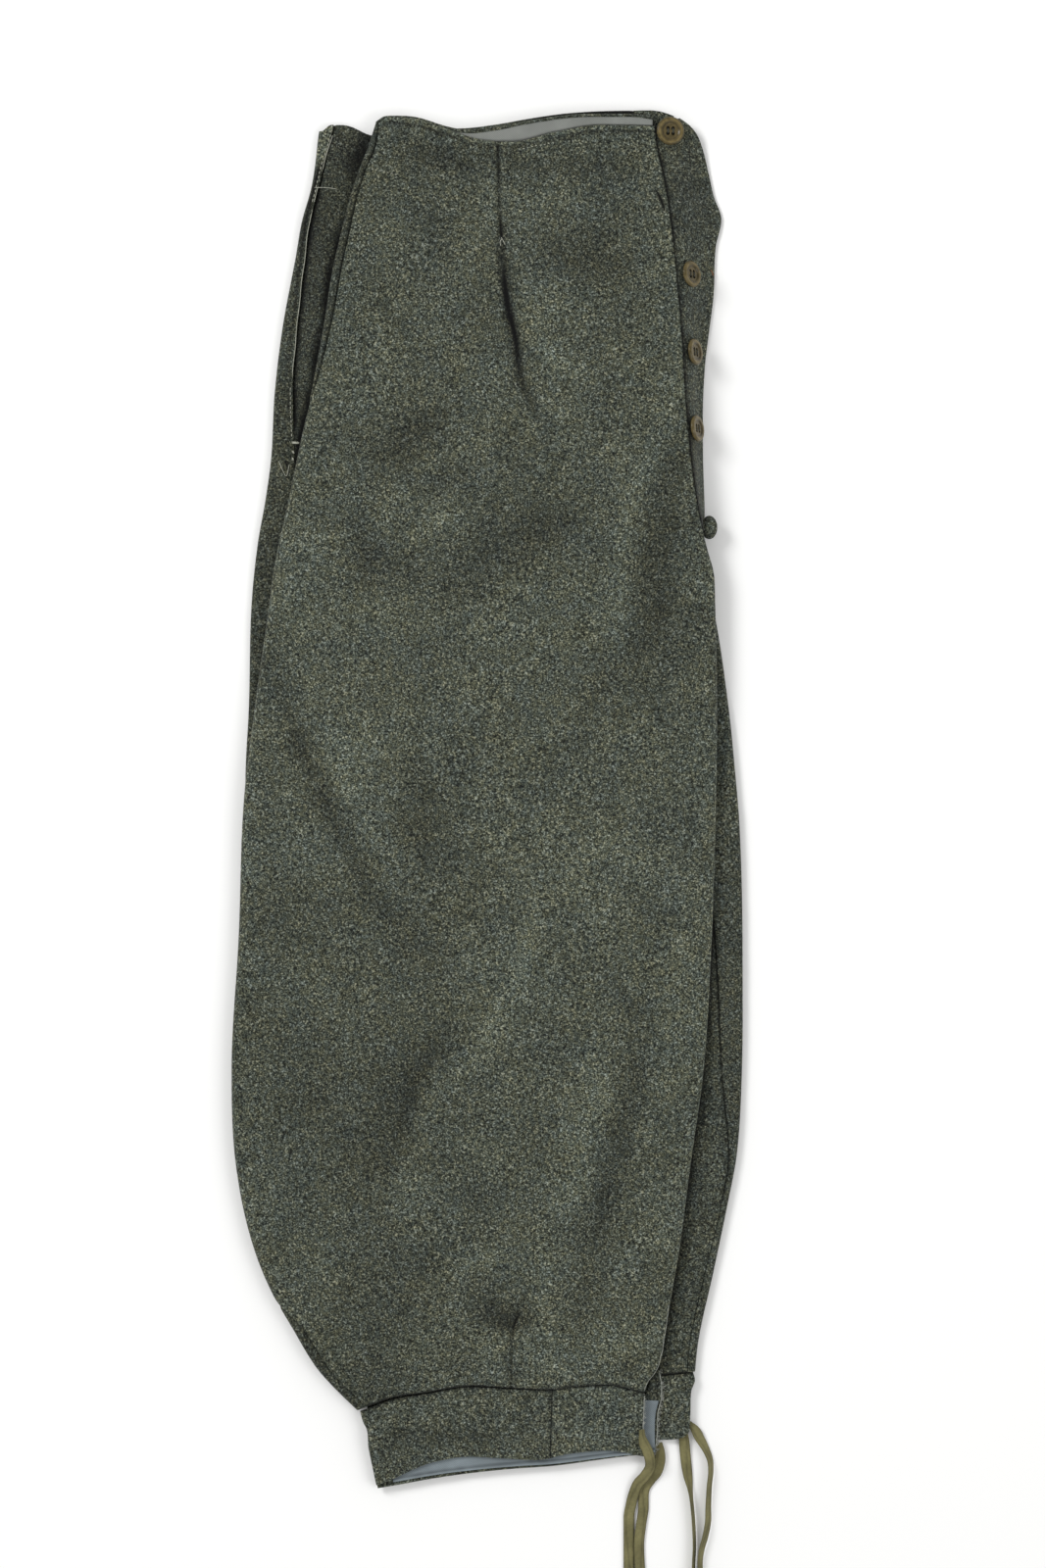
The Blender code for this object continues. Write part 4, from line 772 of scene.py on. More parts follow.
def lower_form(x, y):
    """Lower leg's top: flat, rising in a cosine to the puffed rim at each side."""
    from_left = np.clip((x - along(LOWER_LEG, "seam_left", y)) / RELAX, 0, 1)
    from_right = np.clip((along(LOWER_LEG, "seam_right", y) - x) / RELAX, 0, 1)
    rise_left = (along(LOWER_LEG, "z_left", y) - LOWER_LEG_TOP) * (1 + np.cos(np.pi * from_left))
    rise_right = (along(LOWER_LEG, "z_right", y) - LOWER_LEG_TOP) * (1 + np.cos(np.pi * from_right))
    return LOWER_LEG_TOP + (rise_left + rise_right) / 2


print("height of the upper leg in its middle, mm:", round(float(upper_form(0.0, 0.0)), 1))

# %% [markdown]
# ## Cloth from a grid
#
# Each panel is a grid of rows down the leg and columns across it. Columns crowd together at
# the sides, where the cloth turns down, and along seams. Near both ends the rows bend to the
# shape of the waist or the hem. `cloth` closes an outer and an inner grid into a thin wall
# and stores the shade of each point.

# %% Rows, columns and walls
def rows_down(count, ends=(0.0, 0.5, 1.2, 2.4, 4.5), length=910.0):
    """Rows from 0 to 1: fixed steps in millimetres at both ends, even ones between."""
    steps = np.array(ends) / length
    middle = np.linspace(steps[-1], 1 - steps[-1], count + 2)[1:-1]
    return np.concatenate([steps, middle, 1 - steps[::-1]])


def bent_rows(x, share, t, top, bottom, zone=0.2):
    """Straight rows from side to side that take each edge's shape near the ends."""
    y_top = top[0].y + (top[-1].y - top[0].y) * share
    y_bottom = bottom[0].y + (bottom[-1].y - bottom[0].y) * share
    near_top = np.clip(1 - t / zone, 0, 1)[:, None] ** 2
    near_bottom = np.clip(1 - (1 - t) / zone, 0, 1)[:, None] ** 2
    return (y_top + (y_bottom - y_top) * t[:, None] + near_top * (edge_y(top, x) - y_top)
            + near_bottom * (edge_y(bottom, x) - y_bottom))


def side_rows(top, bottom, t):
    """Heights of the rows at their left and right ends."""
    return (top[0].y + (bottom[0].y - top[0].y) * t,
            top[-1].y + (bottom[-1].y - top[-1].y) * t)


def spread(start, end, start_steps, end_steps, shares):
    """Columns from start to end: fixed steps at each side, given shares between them."""
    first = start[:, None] + np.array(start_steps, float)
    last = end[:, None] - np.array(end_steps[::-1], float)
    middle = first[:, -1:] + (last[:, :1] - first[:, -1:]) * np.array(shares)[None, :]
    return np.concatenate([first, middle, last], axis=1)


def inset(grid, depth):
    """A grid moved inwards, square to the run of each row."""
    run_x, run_z = np.gradient(grid[..., 0], axis=1), np.gradient(grid[..., 2], axis=1)
    size = np.hypot(run_x, run_z)
    return grid + np.stack([run_z / size, np.zeros_like(size), -run_x / size], axis=2) * depth


def cloth(name, node, outer, inner, finish, shade=None):
    """A closed wall between two grids, on the frame's body, in place of a solid."""
    rows, cols = outer.shape[:2]
    total = rows * cols
    index = np.arange(total).reshape(rows, cols)
    a, b, c, d = index[:-1, :-1], index[:-1, 1:], index[1:, 1:], index[1:, :-1]
    top = np.stack([a, b, c, d], -1).reshape(-1, 4)
    low = np.stack([a, d, c, b], -1).reshape(-1, 4) + total
    rim = np.concatenate([index[0], index[1:, -1], index[-1, -2::-1], index[-2:0:-1, 0]])
    after = np.roll(rim, -1)
    side = np.stack([rim, rim + total, after + total, after], -1)
    points = np.concatenate([outer.reshape(-1, 3), inner.reshape(-1, 3)])
    piece = mesh_object(name, points, turned_out(points, np.concatenate([top, low, side])), finish)
    if shade is not None:
        store_shade(piece, np.concatenate([shade.ravel(), shade.ravel()]))
    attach(piece, "root")
    if node:
        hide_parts(*([node] if isinstance(node, str) else node))
    step_u, step_v = np.diff(outer, axis=1)[:-1], np.diff(outer, axis=0)[:, :-1]
    area = np.linalg.norm(np.cross(step_u, step_v), axis=2).sum() * MM * MM
    print(f"{name}: {len(piece.data.polygons) * 2} triangles, {area:.4f} square metres")
    return piece, area


# %% [markdown]
# ## Right front
#
# The largest piece: it runs from the waist edge to the cuff, with the fly at its right and
# the pocket mouth along the upper part of its left edge. A waist dart and a hem dart shape
# it. Darts are sewn folds; from outside each is one dark line in a shallow groove with the
# cloth puffed on both sides, fading into a crease. The columns are led along both darts, so
# that the groove, only two millimetres wide, falls on points of the grid.

# %% Guide lines of the darts
GuidePoint = namedtuple("GuidePoint", "y x")
WAIST_DART = [GuidePoint(482, 6.6), GuidePoint(467, 7.0), GuidePoint(398, 9.8),
              GuidePoint(360, 15.0), GuidePoint(320, 24.0), GuidePoint(272, 32.0)]
HEM_DART = [GuidePoint(-365, 23.8), GuidePoint(-371, 20.8), GuidePoint(-380, 17.9),
            GuidePoint(-395, 16.8), GuidePoint(-426, 16.0)]
WAIST_DART_TIP, HEM_DART_TIP = 398.0, -366.0
Guide = namedtuple("Guide", "line share top fade_top bottom fade_bottom")
GUIDES = [Guide(WAIST_DART, 0.43, 490, 600, 390, 300),
          Guide(HEM_DART, 0.50, -365, -270, -440, -600)]
DART_COLUMNS = np.arange(-4, 5) * 0.0042


def guided(x, y, shares, low):
    """Columns pulled sideways, in a wide bell round each guide, so that one follows it."""
    moved = x.copy()
    for guide in GUIDES:
        at = low + int(np.argmin(np.abs(shares - guide.share)))
        line = along(guide.line, "x", y[:, at])
        active = (ease(-y[:, at], -guide.fade_top, -guide.top)
                  * ease(y[:, at], guide.fade_bottom, guide.bottom))
        shift = (line - x[:, at]) * active
        bell = np.exp(-((x - x[:, at:at + 1]) / 34.0) ** 2)
        moved += shift[:, None] * bell
    return moved


def dart(x, y, line, active):
    """Groove of a sewn dart, 0.9 mm to each side, between two low swellings."""
    across = x - along(line, "x", y)
    groove = np.exp(-(across / 1.1) ** 2)
    swell = np.exp(-((np.abs(across) - 4.5) / 3.2) ** 2)
    return (-1.5 * groove + 0.6 * swell) * active, groove * active


# %% Height and shade of the front
SMALL_FOLDS = [Fold(*row) for row in (
    (-20, 470, 2, 462, 0, 1.2, 12), (24, 468, 42, 470, 0, 0.8, 12),
    (-66, 300, -30, 60, 10, -0.9, 26), (70, 60, 20, -60, -8, -0.9, 28),
    (120, 90, 128, -60, 4, 0.8, 24), (-120, -80, -140, -240, 6, 0.9, 26),
    (-100, -290, -60, -380, 4, -0.9, 20), (52, -380, 60, -415, 0, -1.1, 12),
    (-28, -384, -34, -416, 0, -1.0, 12), (-62, -388, -70, -420, 0, 0.8, 12),
    (84, -380, 88, -412, 0, -0.9, 12), (36, -392, 38, -416, 0, 0.8, 10),
    (148, 172, 118, 120, 4, -1.2, 14), (150, 150, 136, 96, 2, 0.9, 14),
)]


def front_height(x, y):
    """Form, folds, darts and unevenness of the right front's outer face."""
    fade = edge_fade(x, y)
    waist_dart, _ = dart(x, y, WAIST_DART, ease(y, WAIST_DART_TIP - 4, WAIST_DART_TIP + 6))
    hem_dart, _ = dart(x, y, HEM_DART, ease(-y, -HEM_DART_TIP - 2, -HEM_DART_TIP + 10))
    uneven = (0.45 * soft_noise(x, y, 34.0, 3) + 0.28 * soft_noise(x, y, 13.0, 4)
              + 0.10 * soft_noise(x, y, 5.0, 5))
    from_waist = edge_y(FRONT_WAIST, x) - y
    from_hem = y - edge_y(LEG_HEM, x)
    folds = folds_at(x, y, FOLDS) + folds_at(x, y, SMALL_FOLDS) + creases_at(x, y, CREASES)[0]
    folds = np.where(folds < 0, DEEPEST_FOLD * np.tanh(folds / DEEPEST_FOLD), folds)
    return (upper_form(x, y) + folds * fade
            + waist_dart + hem_dart + uneven * (0.25 + 0.75 * fade)
            - roll(from_waist, 1.6) - roll(from_hem, 3.6) * 0.8)


def front_shade(x, y):
    """Tone of the front: painted shade in crease troughs, under the hem and at the fly's edge,
    painted highlights on crests and beside the fly's edge, a stain, dark seams, rubbed edges.
    """
    _, waist_seam = dart(x, y, WAIST_DART, ease(y, WAIST_DART_TIP - 2, WAIST_DART_TIP + 4))
    _, hem_seam = dart(x, y, HEM_DART, ease(-y, -HEM_DART_TIP - 2, -HEM_DART_TIP + 6))
    inside = along(UPPER_LEG, "right", y) - x
    # Painted shadow along the fly's edge, with a painted highlight line just inside it
    fly_edge_shadow_and_highlight = (np.exp(-((inside - 1.6) / 0.9) ** 2) - 2.6 * np.exp(-(inside / 0.7) ** 2)) * ease(
        y, 190, 204)
    stain = np.exp(-((x + 78.4) ** 2 + (y - 174.7) ** 2) / 5.0 ** 2)
    # Painted shade in the troughs of creases and folds, painted highlights on their crests
    tone = creases_at(x, y, CREASES)[1]
    tone += 0.03 * (folds_at(x, y, FOLDS) + folds_at(x, y, SMALL_FOLDS))
    rubbed_right = (np.exp(-((along(UPPER_LEG, "right", y) - x) / 1.8) ** 2) * ease(-y, -80, -40)
                    * ease(y, -434, -424))
    hem_shadow = np.exp(-((y - edge_y(LEG_HEM, x)) / 1.2) ** 2)
    from_waist = edge_y(FRONT_WAIST, x) - y
    waist_line = np.exp(-((from_waist - 4.6) / 0.9) ** 2)
    tone += 0.14 * (1 - ease(from_waist, 1.5, 4.0)) - 0.58 * waist_line
    tone += 0.07 * ease(x, -40, 20) * ease(-y, -60, 40) - 0.08 * ease(-x, 0, 60) * ease(-y, 60, 160)
    return (tone - 0.62 * waist_seam - 0.55 * hem_seam + 0.20 * fly_edge_shadow_and_highlight - 0.25 * stain
            + 0.50 * rubbed_right - 0.80 * hem_shadow + 0.13 * soft_noise(x, y, 42.0, 8)
            + 0.07 * soft_noise(x, y, 20.0, 9) + 0.05 * soft_noise(x, y, 9.0, 10))


# %% Make the right front
def front_edge_x(y):
    """Where the front begins: tucked round the fold where the seam lies on it."""
    gap = along(UPPER_LEG, "front", y) - along(UPPER_LEG, "left", y)
    return along(UPPER_LEG, "left", y) + gap - 1.75 * np.exp(-((gap - 2.0) / 1.5) ** 2)


front_shares = np.concatenate([np.linspace(0, 1, 104)[1:-1]]
                              + [g.share + DART_COLUMNS for g in GUIDES])
for guide in GUIDES:
    keep = (np.abs(front_shares - guide.share) > 0.022) | np.isin(
        front_shares, guide.share + DART_COLUMNS)
    front_shares = front_shares[keep]
front_shares = np.sort(front_shares)
LEFT_STEPS, RIGHT_STEPS = (0, 0.5, 1.3, 2.5, 4.2, 6.5), (0, 0.25, 0.7, 1.4, 2.5, 4.2, 6.5, 9.5)
t = rows_down(330)
y_left, y_right = side_rows(FRONT_WAIST, LEG_HEM[1:], t)
x = spread(front_edge_x(y_left), along(UPPER_LEG, "right", y_right), LEFT_STEPS, RIGHT_STEPS,
           front_shares)
share = (x - x[:, :1]) / (x[:, -1:] - x[:, :1])
y = bent_rows(x, share, t, FRONT_WAIST, LEG_HEM[1:])
x = guided(x, y, front_shares, len(LEFT_STEPS))
outer = np.stack([x, y, front_height(x, y)], axis=2)
right_front, area = cloth("right_front_cloth", "right_front", outer, inset(outer, WOOL), wool,
                          front_shade(x, y))

# %% [markdown]
# ## Right back
#
# Only its borders show: the waist edge behind the front's, the band beside the pocket mouth
# at the upper left, and the strip at the lower left where the side seam lies on the front.
# The rest is hidden between the legs, so one rounded solid stands for it. Its finer surface
# comes up to the fold where it shows and stays three millimetres down where the front lies
# on it.

# %% Make the right back
t = rows_down(200)
y_left, y_right = side_rows(BACK_WAIST, LEG_HEM, t)
BACK_STEPS = (0, 0.35, 0.9, 1.8, 3.0, 4.6, 6.5, 9.0, 12.0)
x = spread(along(UPPER_LEG, "left", y_left) + 0.35, along(UPPER_LEG, "right", y_right),
           BACK_STEPS, (0, 1.4, 3.4, 8), np.linspace(0, 1, 34)[1:-1])
share = (x - x[:, :1]) / (x[:, -1:] - x[:, :1])
y = bent_rows(x, share, t, BACK_WAIST, LEG_HEM)
covered = ease(x, front_edge_x(y) - 1.8, front_edge_x(y) + 0.4)
below_waist = edge_y(BACK_WAIST, x) - y
at_waist = 1 - ease(below_waist, 2.0, 3.2)
depth = 0.5 + 2.5 * covered * (1 - at_waist) + 0.4 * at_waist * covered
outer = np.stack([x, y, upper_form(x, y)], axis=2)
outer = inset(outer, depth[..., None])
fade = edge_fade(x, y)
ripple = 0.25 * soft_noise(x, y, 17.0, 13) + 0.12 * soft_noise(x, y, 6.0, 14)
outer[..., 2] += ripple * (1 - covered)
outer[..., 2] -= 2.6 * fade * (1 - at_waist) + 0.9 * fade * at_waist + roll(below_waist, 1.2) * 0.8
outer[..., 2] -= roll(y - edge_y(LEG_HEM, x), 2.0) * 0.6
base = lower_form(outer[..., 0], outer[..., 1]) + 0.8
lift = roll(x - x[:, :1], 3.0) + roll(x[:, -1:] - x, 3.0)
outer[..., 2] = np.maximum(outer[..., 2], base + 1.0)
inner = np.stack([outer[..., 0], outer[..., 1],
                  base + np.minimum(lift, (outer[..., 2] - base) * 0.4)], axis=2)
# Painted shade on the strips that show beside the front, which lie lower: darker all over, less so
# at the waist edge, with a painted shadow along the front's edge.
front_edge_shadow = np.exp(-((front_edge_x(y) - x) / 1.1) ** 2) * ease(y, 200, 240)
shade = 0.08 * soft_noise(x, y, 18.0, 15) - 0.20 - 0.16 * (1 - at_waist) - 0.55 * front_edge_shadow
right_back, area = cloth("right_back_cloth", "right_back", outer, inner, wool, shade)

# %% [markdown]
# ## The left leg
#
# Its back lies up, between two seams, and its front wraps up and in round both edges, so the
# rims of the lower leg are the front's cloth. At the upper left the seam is open: that is the
# pocket mouth, a dark slit along a line of light stitches. A C-shaped profile, carried down
# the leg, gives the front: seam, rim, underside, rim, seam.

# %% Left back
def beside_pocket(y):
    """0 below the pocket mouth and 1 beside it."""
    return ease(y, 262, 280)


def above_cuff(y):
    """1 down the leg, fading to 0 above the cuff, where the right seam closes."""
    return ease(y, -300, -280)


def left_back_columns(y_left, y_right):
    """Columns between the two seams, the left one opened by the pocket mouth."""
    mouth = 0.5 + 0.9 * beside_pocket(y_left)
    return spread(along(LOWER_LEG, "seam_left", y_left) + mouth,
                  along(LOWER_LEG, "seam_right", y_right) - 0.4,
                  (0, 0.6, 1.5, 3, 5.5, 9), (0, 0.5, 1.2, 2.4, 4.5, 8),
                  np.linspace(0, 1, 62)[1:-1])


t = rows_down(230)
y_left, y_right = side_rows(LOWER_WAIST, LOWER_HEM, t)
x = left_back_columns(y_left, y_right)
seam_left = along(LOWER_LEG, "seam_left", y_left)
seam_right = along(LOWER_LEG, "seam_right", y_right)
share = (x - seam_left[:, None]) / (seam_right - seam_left)[:, None]
y = bent_rows(x, share, t, LOWER_WAIST, LOWER_HEM)
from_left, from_right = x - x[:, :1], x[:, -1:] - x
z = lower_form(x, y) + 0.3 * soft_noise(x, y, 21.0, 23) + 0.15 * soft_noise(x, y, 7.0, 24)
z -= (0.5 + 1.1 * beside_pocket(y)) * np.exp(-(from_left / 3.5) ** 2)
z -= 0.9 * np.exp(-(from_right / 1.6) ** 2) * above_cuff(y)
z -= roll(edge_y(LOWER_WAIST, x) - y, 1.2) * 0.8 + roll(y - edge_y(LOWER_HEM, x), 1.5) * 0.6
outer = np.stack([x, y, np.maximum(z, 2.6)], axis=2)
inner = outer.copy()
inner[..., 2] = np.maximum(outer[..., 2] - WOOL, 2.15)
beside_left = along(UPPER_LEG, "left", y) - x
beside_right = x - along(UPPER_LEG, "right", y)
in_pocket = ease(y, 250, 275)
# Painted shade in the open pocket mouth along the left seam, and a fainter dark line 4 mm from it
shade = -0.80 * np.exp(-(from_left / 1.6) ** 2) * in_pocket * (1 - ease(y, 425, 445))
shade -= 0.35 * np.exp(-((from_left - 4.0) / 0.9) ** 2) * in_pocket * (1 - ease(y, 400, 430))
shade -= 0.45 * np.exp(-(from_right / 0.9) ** 2) * above_cuff(y)
# Painted shadow beside the upper leg's left edge, widest at the waist; painted shade over the whole
# strip lying below the upper leg, on both sides; painted shadow by its right edge.
at_top = ease(y, 436, 456)
gap_width = 3.2 + 8.0 * at_top
gap = (0.62 - 0.45 * ease(y, 385, 420) + 0.25 * at_top) * np.exp(
    -(np.clip(beside_left, 0, None) / gap_width) ** 4)
shade -= (0.42 + gap) * ease(-x, 0, 40)
shade -= (0.22 + 0.68 * np.exp(-(np.clip(beside_right, 0, None) / 2.2) ** 2)) * ease(x, 0, 40)
shade = np.maximum(shade, -0.93) + 0.08 * soft_noise(x, y, 20.0, 25)
# Painted shade in the groove of the hem seam
shade -= 0.70 * np.exp(-((y - edge_y(LOWER_HEM, x)) / 1.2) ** 2)
left_back, area = cloth("left_back_cloth", "left_back", outer, inner, wool, shade)

# %% Left front
t = rows_down(190)
y_left, y_right = side_rows(LOWER_WAIST, LOWER_HEM, t)
left, right = along(LOWER_LEG, "left", y_left), along(LOWER_LEG, "right", y_right)
seam_left = along(LOWER_LEG, "seam_left", y_left)
seam_right = along(LOWER_LEG, "seam_right", y_right)
z_left, z_right = along(LOWER_LEG, "z_left", y_left), along(LOWER_LEG, "z_right", y_right)
inner_left, inner_right = left + z_left / 2, right - z_right / 2
xs, zs, shares = [], [], []
for way in (0.0, 0.04, 0.12, 0.25, 0.5, 0.75):
    xs.append(seam_left + (inner_left - seam_left) * way)
    zs.append(z_left)
    shares.append(0.0)
for turn in np.radians(np.linspace(90, 270, 17)):
    xs.append(inner_left + z_left / 2 * np.cos(turn))
    zs.append(z_left / 2 * (1 + np.sin(turn)))
    shares.append(0.0)
for way in np.linspace(0, 1, 40)[1:-1]:
    xs.append(inner_left + (inner_right - inner_left) * way)
    zs.append(np.zeros(len(t)))
    shares.append(way)
for turn in np.radians(np.linspace(-90, 90, 17)):
    xs.append(inner_right + z_right / 2 * np.cos(turn))
    zs.append(z_right / 2 * (1 + np.sin(turn)))
    shares.append(1.0)
for way in (0.25, 0.5, 0.75, 0.88, 0.96, 1.0):
    xs.append(inner_right + (seam_right - inner_right) * way)
    zs.append(z_right)
    shares.append(1.0)
x, z = np.stack(xs, axis=1), np.stack(zs, axis=1)
y = bent_rows(x, np.array(shares)[None, :], t, LOWER_WAIST, LOWER_HEM)
outer = np.stack([x, y, z], axis=2)
inner = inset(outer, -WOOL)
rim = ease(z, 2.5, 5.0)
ripple = (0.35 * soft_noise(x, y, 19.0, 33) + 0.2 * soft_noise(x, y, 6.5, 34)) * rim
seam = 0.5 * (np.exp(-((x - seam_left[:, None]) / 1.6) ** 2)
              + np.exp(-((x - seam_right[:, None]) / 1.6) ** 2)) * rim
for grid in (outer, inner):
    grid[..., 2] += ripple - seam
outer[..., 2] -= roll(edge_y(LOWER_WAIST, x) - y, 1.0) * 0.6 * rim
facing = ease(y, 450, 458) * ease(z, 4, 6) * (1 - ease(x, -60, -40))
from_seam = np.abs(x - seam_left[:, None])
mouth_rim = rim * beside_pocket(y) * (1 - facing)
shade = (0.55 * facing
         - 0.45 * np.exp(-((x - seam_right[:, None]) / 0.9) ** 2) * rim * above_cuff(y)
         + 0.25 * np.exp(-(from_seam / 0.8) ** 2) * mouth_rim
         - 0.45 * np.exp(-((from_seam - 3.0) / 1.0) ** 2) * mouth_rim
         + 0.08 * soft_noise(x, y, 20.0, 35))
# Painted shade on both rims, which lie below the upper leg, deepest at the upper left
shade -= (0.34 + 0.20 * ease(y, 380, 430) * (1 - facing)) * ease(-x, 0, 40)
shade -= 0.18 * ease(x, 0, 40)
left_front, area = cloth("left_front_cloth", "left_front", outer, inner, wool, shade)

# %% [markdown]
# ## Button stand and fly
#
# The stand is the narrow underlap with the fly buttons. It hangs from the front's fly edge
# and slopes down to the surface, steepest beside the lower buttons. Under it lie the folded
# layers of the left fly, whose round, stitched end shows as a small pad at the fly's foot.

# %% Button stand
StandSection = namedtuple("StandSection", "y outer_y outer z_outer")
BUTTON_STAND = [StandSection(*row) for row in (
    (478.5, 485.5, 137.0, 11.0), (474.0, 481.0, 143.5, 9.5),
    (469.0, 475.0, 149.0, 7.5), (462.0, 466.0, 153.0, 5.0),
    (447.0, 449.0, 157.5, 2.8), (431.0, 431.0, 161.5, 2.4),
    (414.0, 414.0, 167.0, 2.4), (394.0, 394.0, 163.0, 2.4),
    (360.0, 360.0, 161.5, 2.4), (331.5, 331.5, 158.0, 2.4),
    (311.0, 311.0, 155.5, 2.4), (273.0, 273.0, 153.8, 2.4),
    (240.0, 240.0, 154.0, 2.6), (204.0, 204.0, 155.0, 5.0),
    (190.0, 190.0, 155.0, 7.0),
)]
STAND_BEND, STAND_GAP = 0.06, 0.6


def stand_at(y, share):
    """Straight fall from the front's edge to the stand's free edge, bent a little in an S."""
    front = along(UPPER_LEG, "right", y)
    seam_x, seam_z = front + STAND_GAP, upper_form(front, y)
    outer_y, outer_x, z_outer = (along(BUTTON_STAND, n, y) for n in ("outer_y", "outer", "z_outer"))
    fall = share - STAND_BEND * np.sin(2 * np.pi * share)
    return np.stack([seam_x + (outer_x - seam_x) * share, y + (outer_y - y) * share,
                     seam_z + (z_outer - seam_z) * fall], axis=-1)


rows = rows_down(250, (0.0, 0.6, 1.6, 3.0), 274.0)
share = np.concatenate([[0, 0.02, 0.05], np.linspace(0.1, 0.9, 22), [0.95, 0.98, 1.0]])
y = BUTTON_STAND[0].y + (BUTTON_STAND[-1].y - BUTTON_STAND[0].y) * rows[:, None]
outer = stand_at(y * np.ones((1, len(share))), share[None, :] * np.ones((len(rows), 1)))
free = np.sin(np.pi * share[None, :] * 0.5)
outer[..., 2] += (0.45 * soft_noise(outer[..., 0], outer[..., 1], 16.0, 43)
                  + 0.2 * soft_noise(outer[..., 0], outer[..., 1], 6.0, 44)) * free
outer[..., 2] -= 0.7 * np.exp(-((1 - share[None, :]) / 0.04) ** 2)
outer[..., 2] = np.maximum(outer[..., 2], 1.95)
inner = inset(outer, PRESSED_WOOL)
inner[..., 2] = np.maximum(inner[..., 2], 0.1)
front = along(UPPER_LEG, "right", y[:, 0])
slope = np.arctan((upper_form(front - 0.7, y[:, 0]) - upper_form(front, y[:, 0])) / 0.7)
inner[:, 0, 0] = outer[:, 0, 0] - PRESSED_WOOL * np.sin(slope)
inner[:, 0, 2] = outer[:, 0, 2] - PRESSED_WOOL * np.cos(slope)
from_fly = outer[..., 0] - outer[:, :1, 0]
# Painted shadow along the fly's edge, a little lighter at the free edge, darker towards the top;
# the finest noise is grain on the steep part.
shade = (-0.78 * np.exp(-(from_fly / 1.5) ** 2) + 0.10 * np.exp(-((1 - share[None, :]) / 0.05) ** 2)
         - 0.16 * ease(y, 370, 430) + 0.10 * soft_noise(outer[..., 0], outer[..., 1], 15.0, 45)
         + 0.22 * soft_noise(outer[..., 0], outer[..., 1], 1.7, 46) * (1 - ease(y, 340, 400)))
button_stand, area = cloth("button_stand_cloth", "button_stand", outer, inner, pressed_wool,
                           shade)


# %% Round end of the left fly
def pad(name, node, middle, radii, finish, sides=64, rings=28):
    """A flattened pad: a sphere's latitude and longitude, squared off a little, dented by noise."""
    around = np.linspace(0, 2 * np.pi, sides, endpoint=False)[None, :]
    down = np.linspace(0.02, np.pi - 0.02, rings)[:, None]
    flat = np.sign(np.cos(down)) * np.abs(np.cos(down)) ** 0.8
    x = middle[0] + radii[0] * np.cos(around) * np.sin(down) ** 0.8
    y = middle[1] + radii[1] * np.sin(around) * np.sin(down) ** 0.8
    z = middle[2] + radii[2] * flat + 0 * x
    z += 0.35 * soft_noise(x, y, 3.4, 52) * (z > middle[2])
    points = np.stack([x, y, z], axis=-1)
    quads = turned_out(points, ring_quads(rings, sides))
    piece = mesh_object(name, points, quads, finish)
    store_shade(piece, 0.02 + 0.30 * soft_noise(x, y, 2.2, 53))
    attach(piece, "root")
    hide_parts(node)
    print(name, len(quads) * 2, "triangles")
    return piece


FLY_END, FLY_END_RADII = (157.9, 192.8, 12.0), (5.8, 8.4, 4.4)
fly_end = pad("fly_end_pad", "fly_end", FLY_END, FLY_END_RADII, pressed_wool)
left_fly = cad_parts["left_fly"]
left_fly.data.materials.clear()
left_fly.data.materials.append(pressed_wool)

# %% [markdown]
# ## Waist lining
#
# The right back stands a little higher than the front at the waist, so a sliver of its grey
# twill lining shows between the two edges.

# %% Waist lining
x = np.linspace(-37.0, 117.5, 116)[None, :] * np.ones((6, 1))
low = edge_y(FRONT_WAIST, x[0]) + 0.4
high = np.maximum(edge_y(BACK_WAIST, x[0]) - 2.3, low + 0.5)
y = high + (low - high) * np.linspace(0, 1, 6)[:, None]
z = upper_form(x, y) - 1.5 - 1.3 * edge_fade(x, y) + 0.2 * soft_noise(x, y, 7.0, 61)
outer = np.stack([x, y, z], axis=2)
inner = outer - np.array([0, 0, LINING])
waist_lining, area = cloth("waist_lining_twill", "waist_lining", outer, inner, grey_twill)

# %% [markdown]
# ## Cuffs
#
# A band of doubled wool, 50 mm deep, gathers each leg. Each wall of a cuff fills four edges:
# a patch whose inside points blend the four border curves. The right cuff's front is pieced
# from a long and a short part. Its slit is open at the right and shows the grey-blue lining
# and frayed edges.

# %% Edges of the cuffs
CUFF_HEM = edge((-80.0, -492.3), (-68, -487.5), (-51, -479.6), (-39, -475.4), (-13, -471.6),
                (12, -472.8), (37, -474.0), (54, -470.0), (85, -467.2), (111.5, -471.5))
BACK_CUFF_HEM = edge((-79.0, -492.8), (-68, -491.0), (-39, -486.0), (-13, -482.6), (17, -479.8),
                     (46, -478.0), (85, -473.2), (119.5, -469.5))
LEFT_CUFF_HEM = edge((-76.0, -484.0), (-39, -477.5), (46, -469.0), (119, -460.8),
                     (136, -459.4), (141.5, -457.2), (144.0, -454.0))
BACK_CUFF_TOP = edge((-90.5, -441.5), (-40, -430.0), (40, -428.5), (100, -430.0), (112.9, -427.5),
                     (115.6, -418.0), (119.0, -412.5), (122.2, -409.5))
LINING_TOP = edge((-76, -441.0), (-40, -432.0), (40, -431.0), (112.0, -431.5), (122.0, -432.0))
CUFF_LEFT_SIDE = edge((-91.5, -439.0), (-89.5, -446.5), (-86.8, -452.0), (-85.6, -465.0),
                      (-83.2, -477.0), (-80.0, -492.3))
SLIT_FRONT_SIDE = edge((111.5, -426.0), (110.6, -450.0), (111.5, -471.5))
SLIT_BACK_SIDE = edge((122.2, -409.5), (124.4, -420.0), (124.0, -432.0), (121.8, -441.0),
                      (121.2, -458.0), (119.5, -469.5))
LEFT_CUFF_LEFT_SIDE = edge((-87.0, -436.0), (-76.0, -484.0))
LEFT_CUFF_SIDE = edge((146.8, -412.2), (148.0, -417.0), (145.4, -425.0), (144.8, -440.0),
                      (144.0, -454.0))
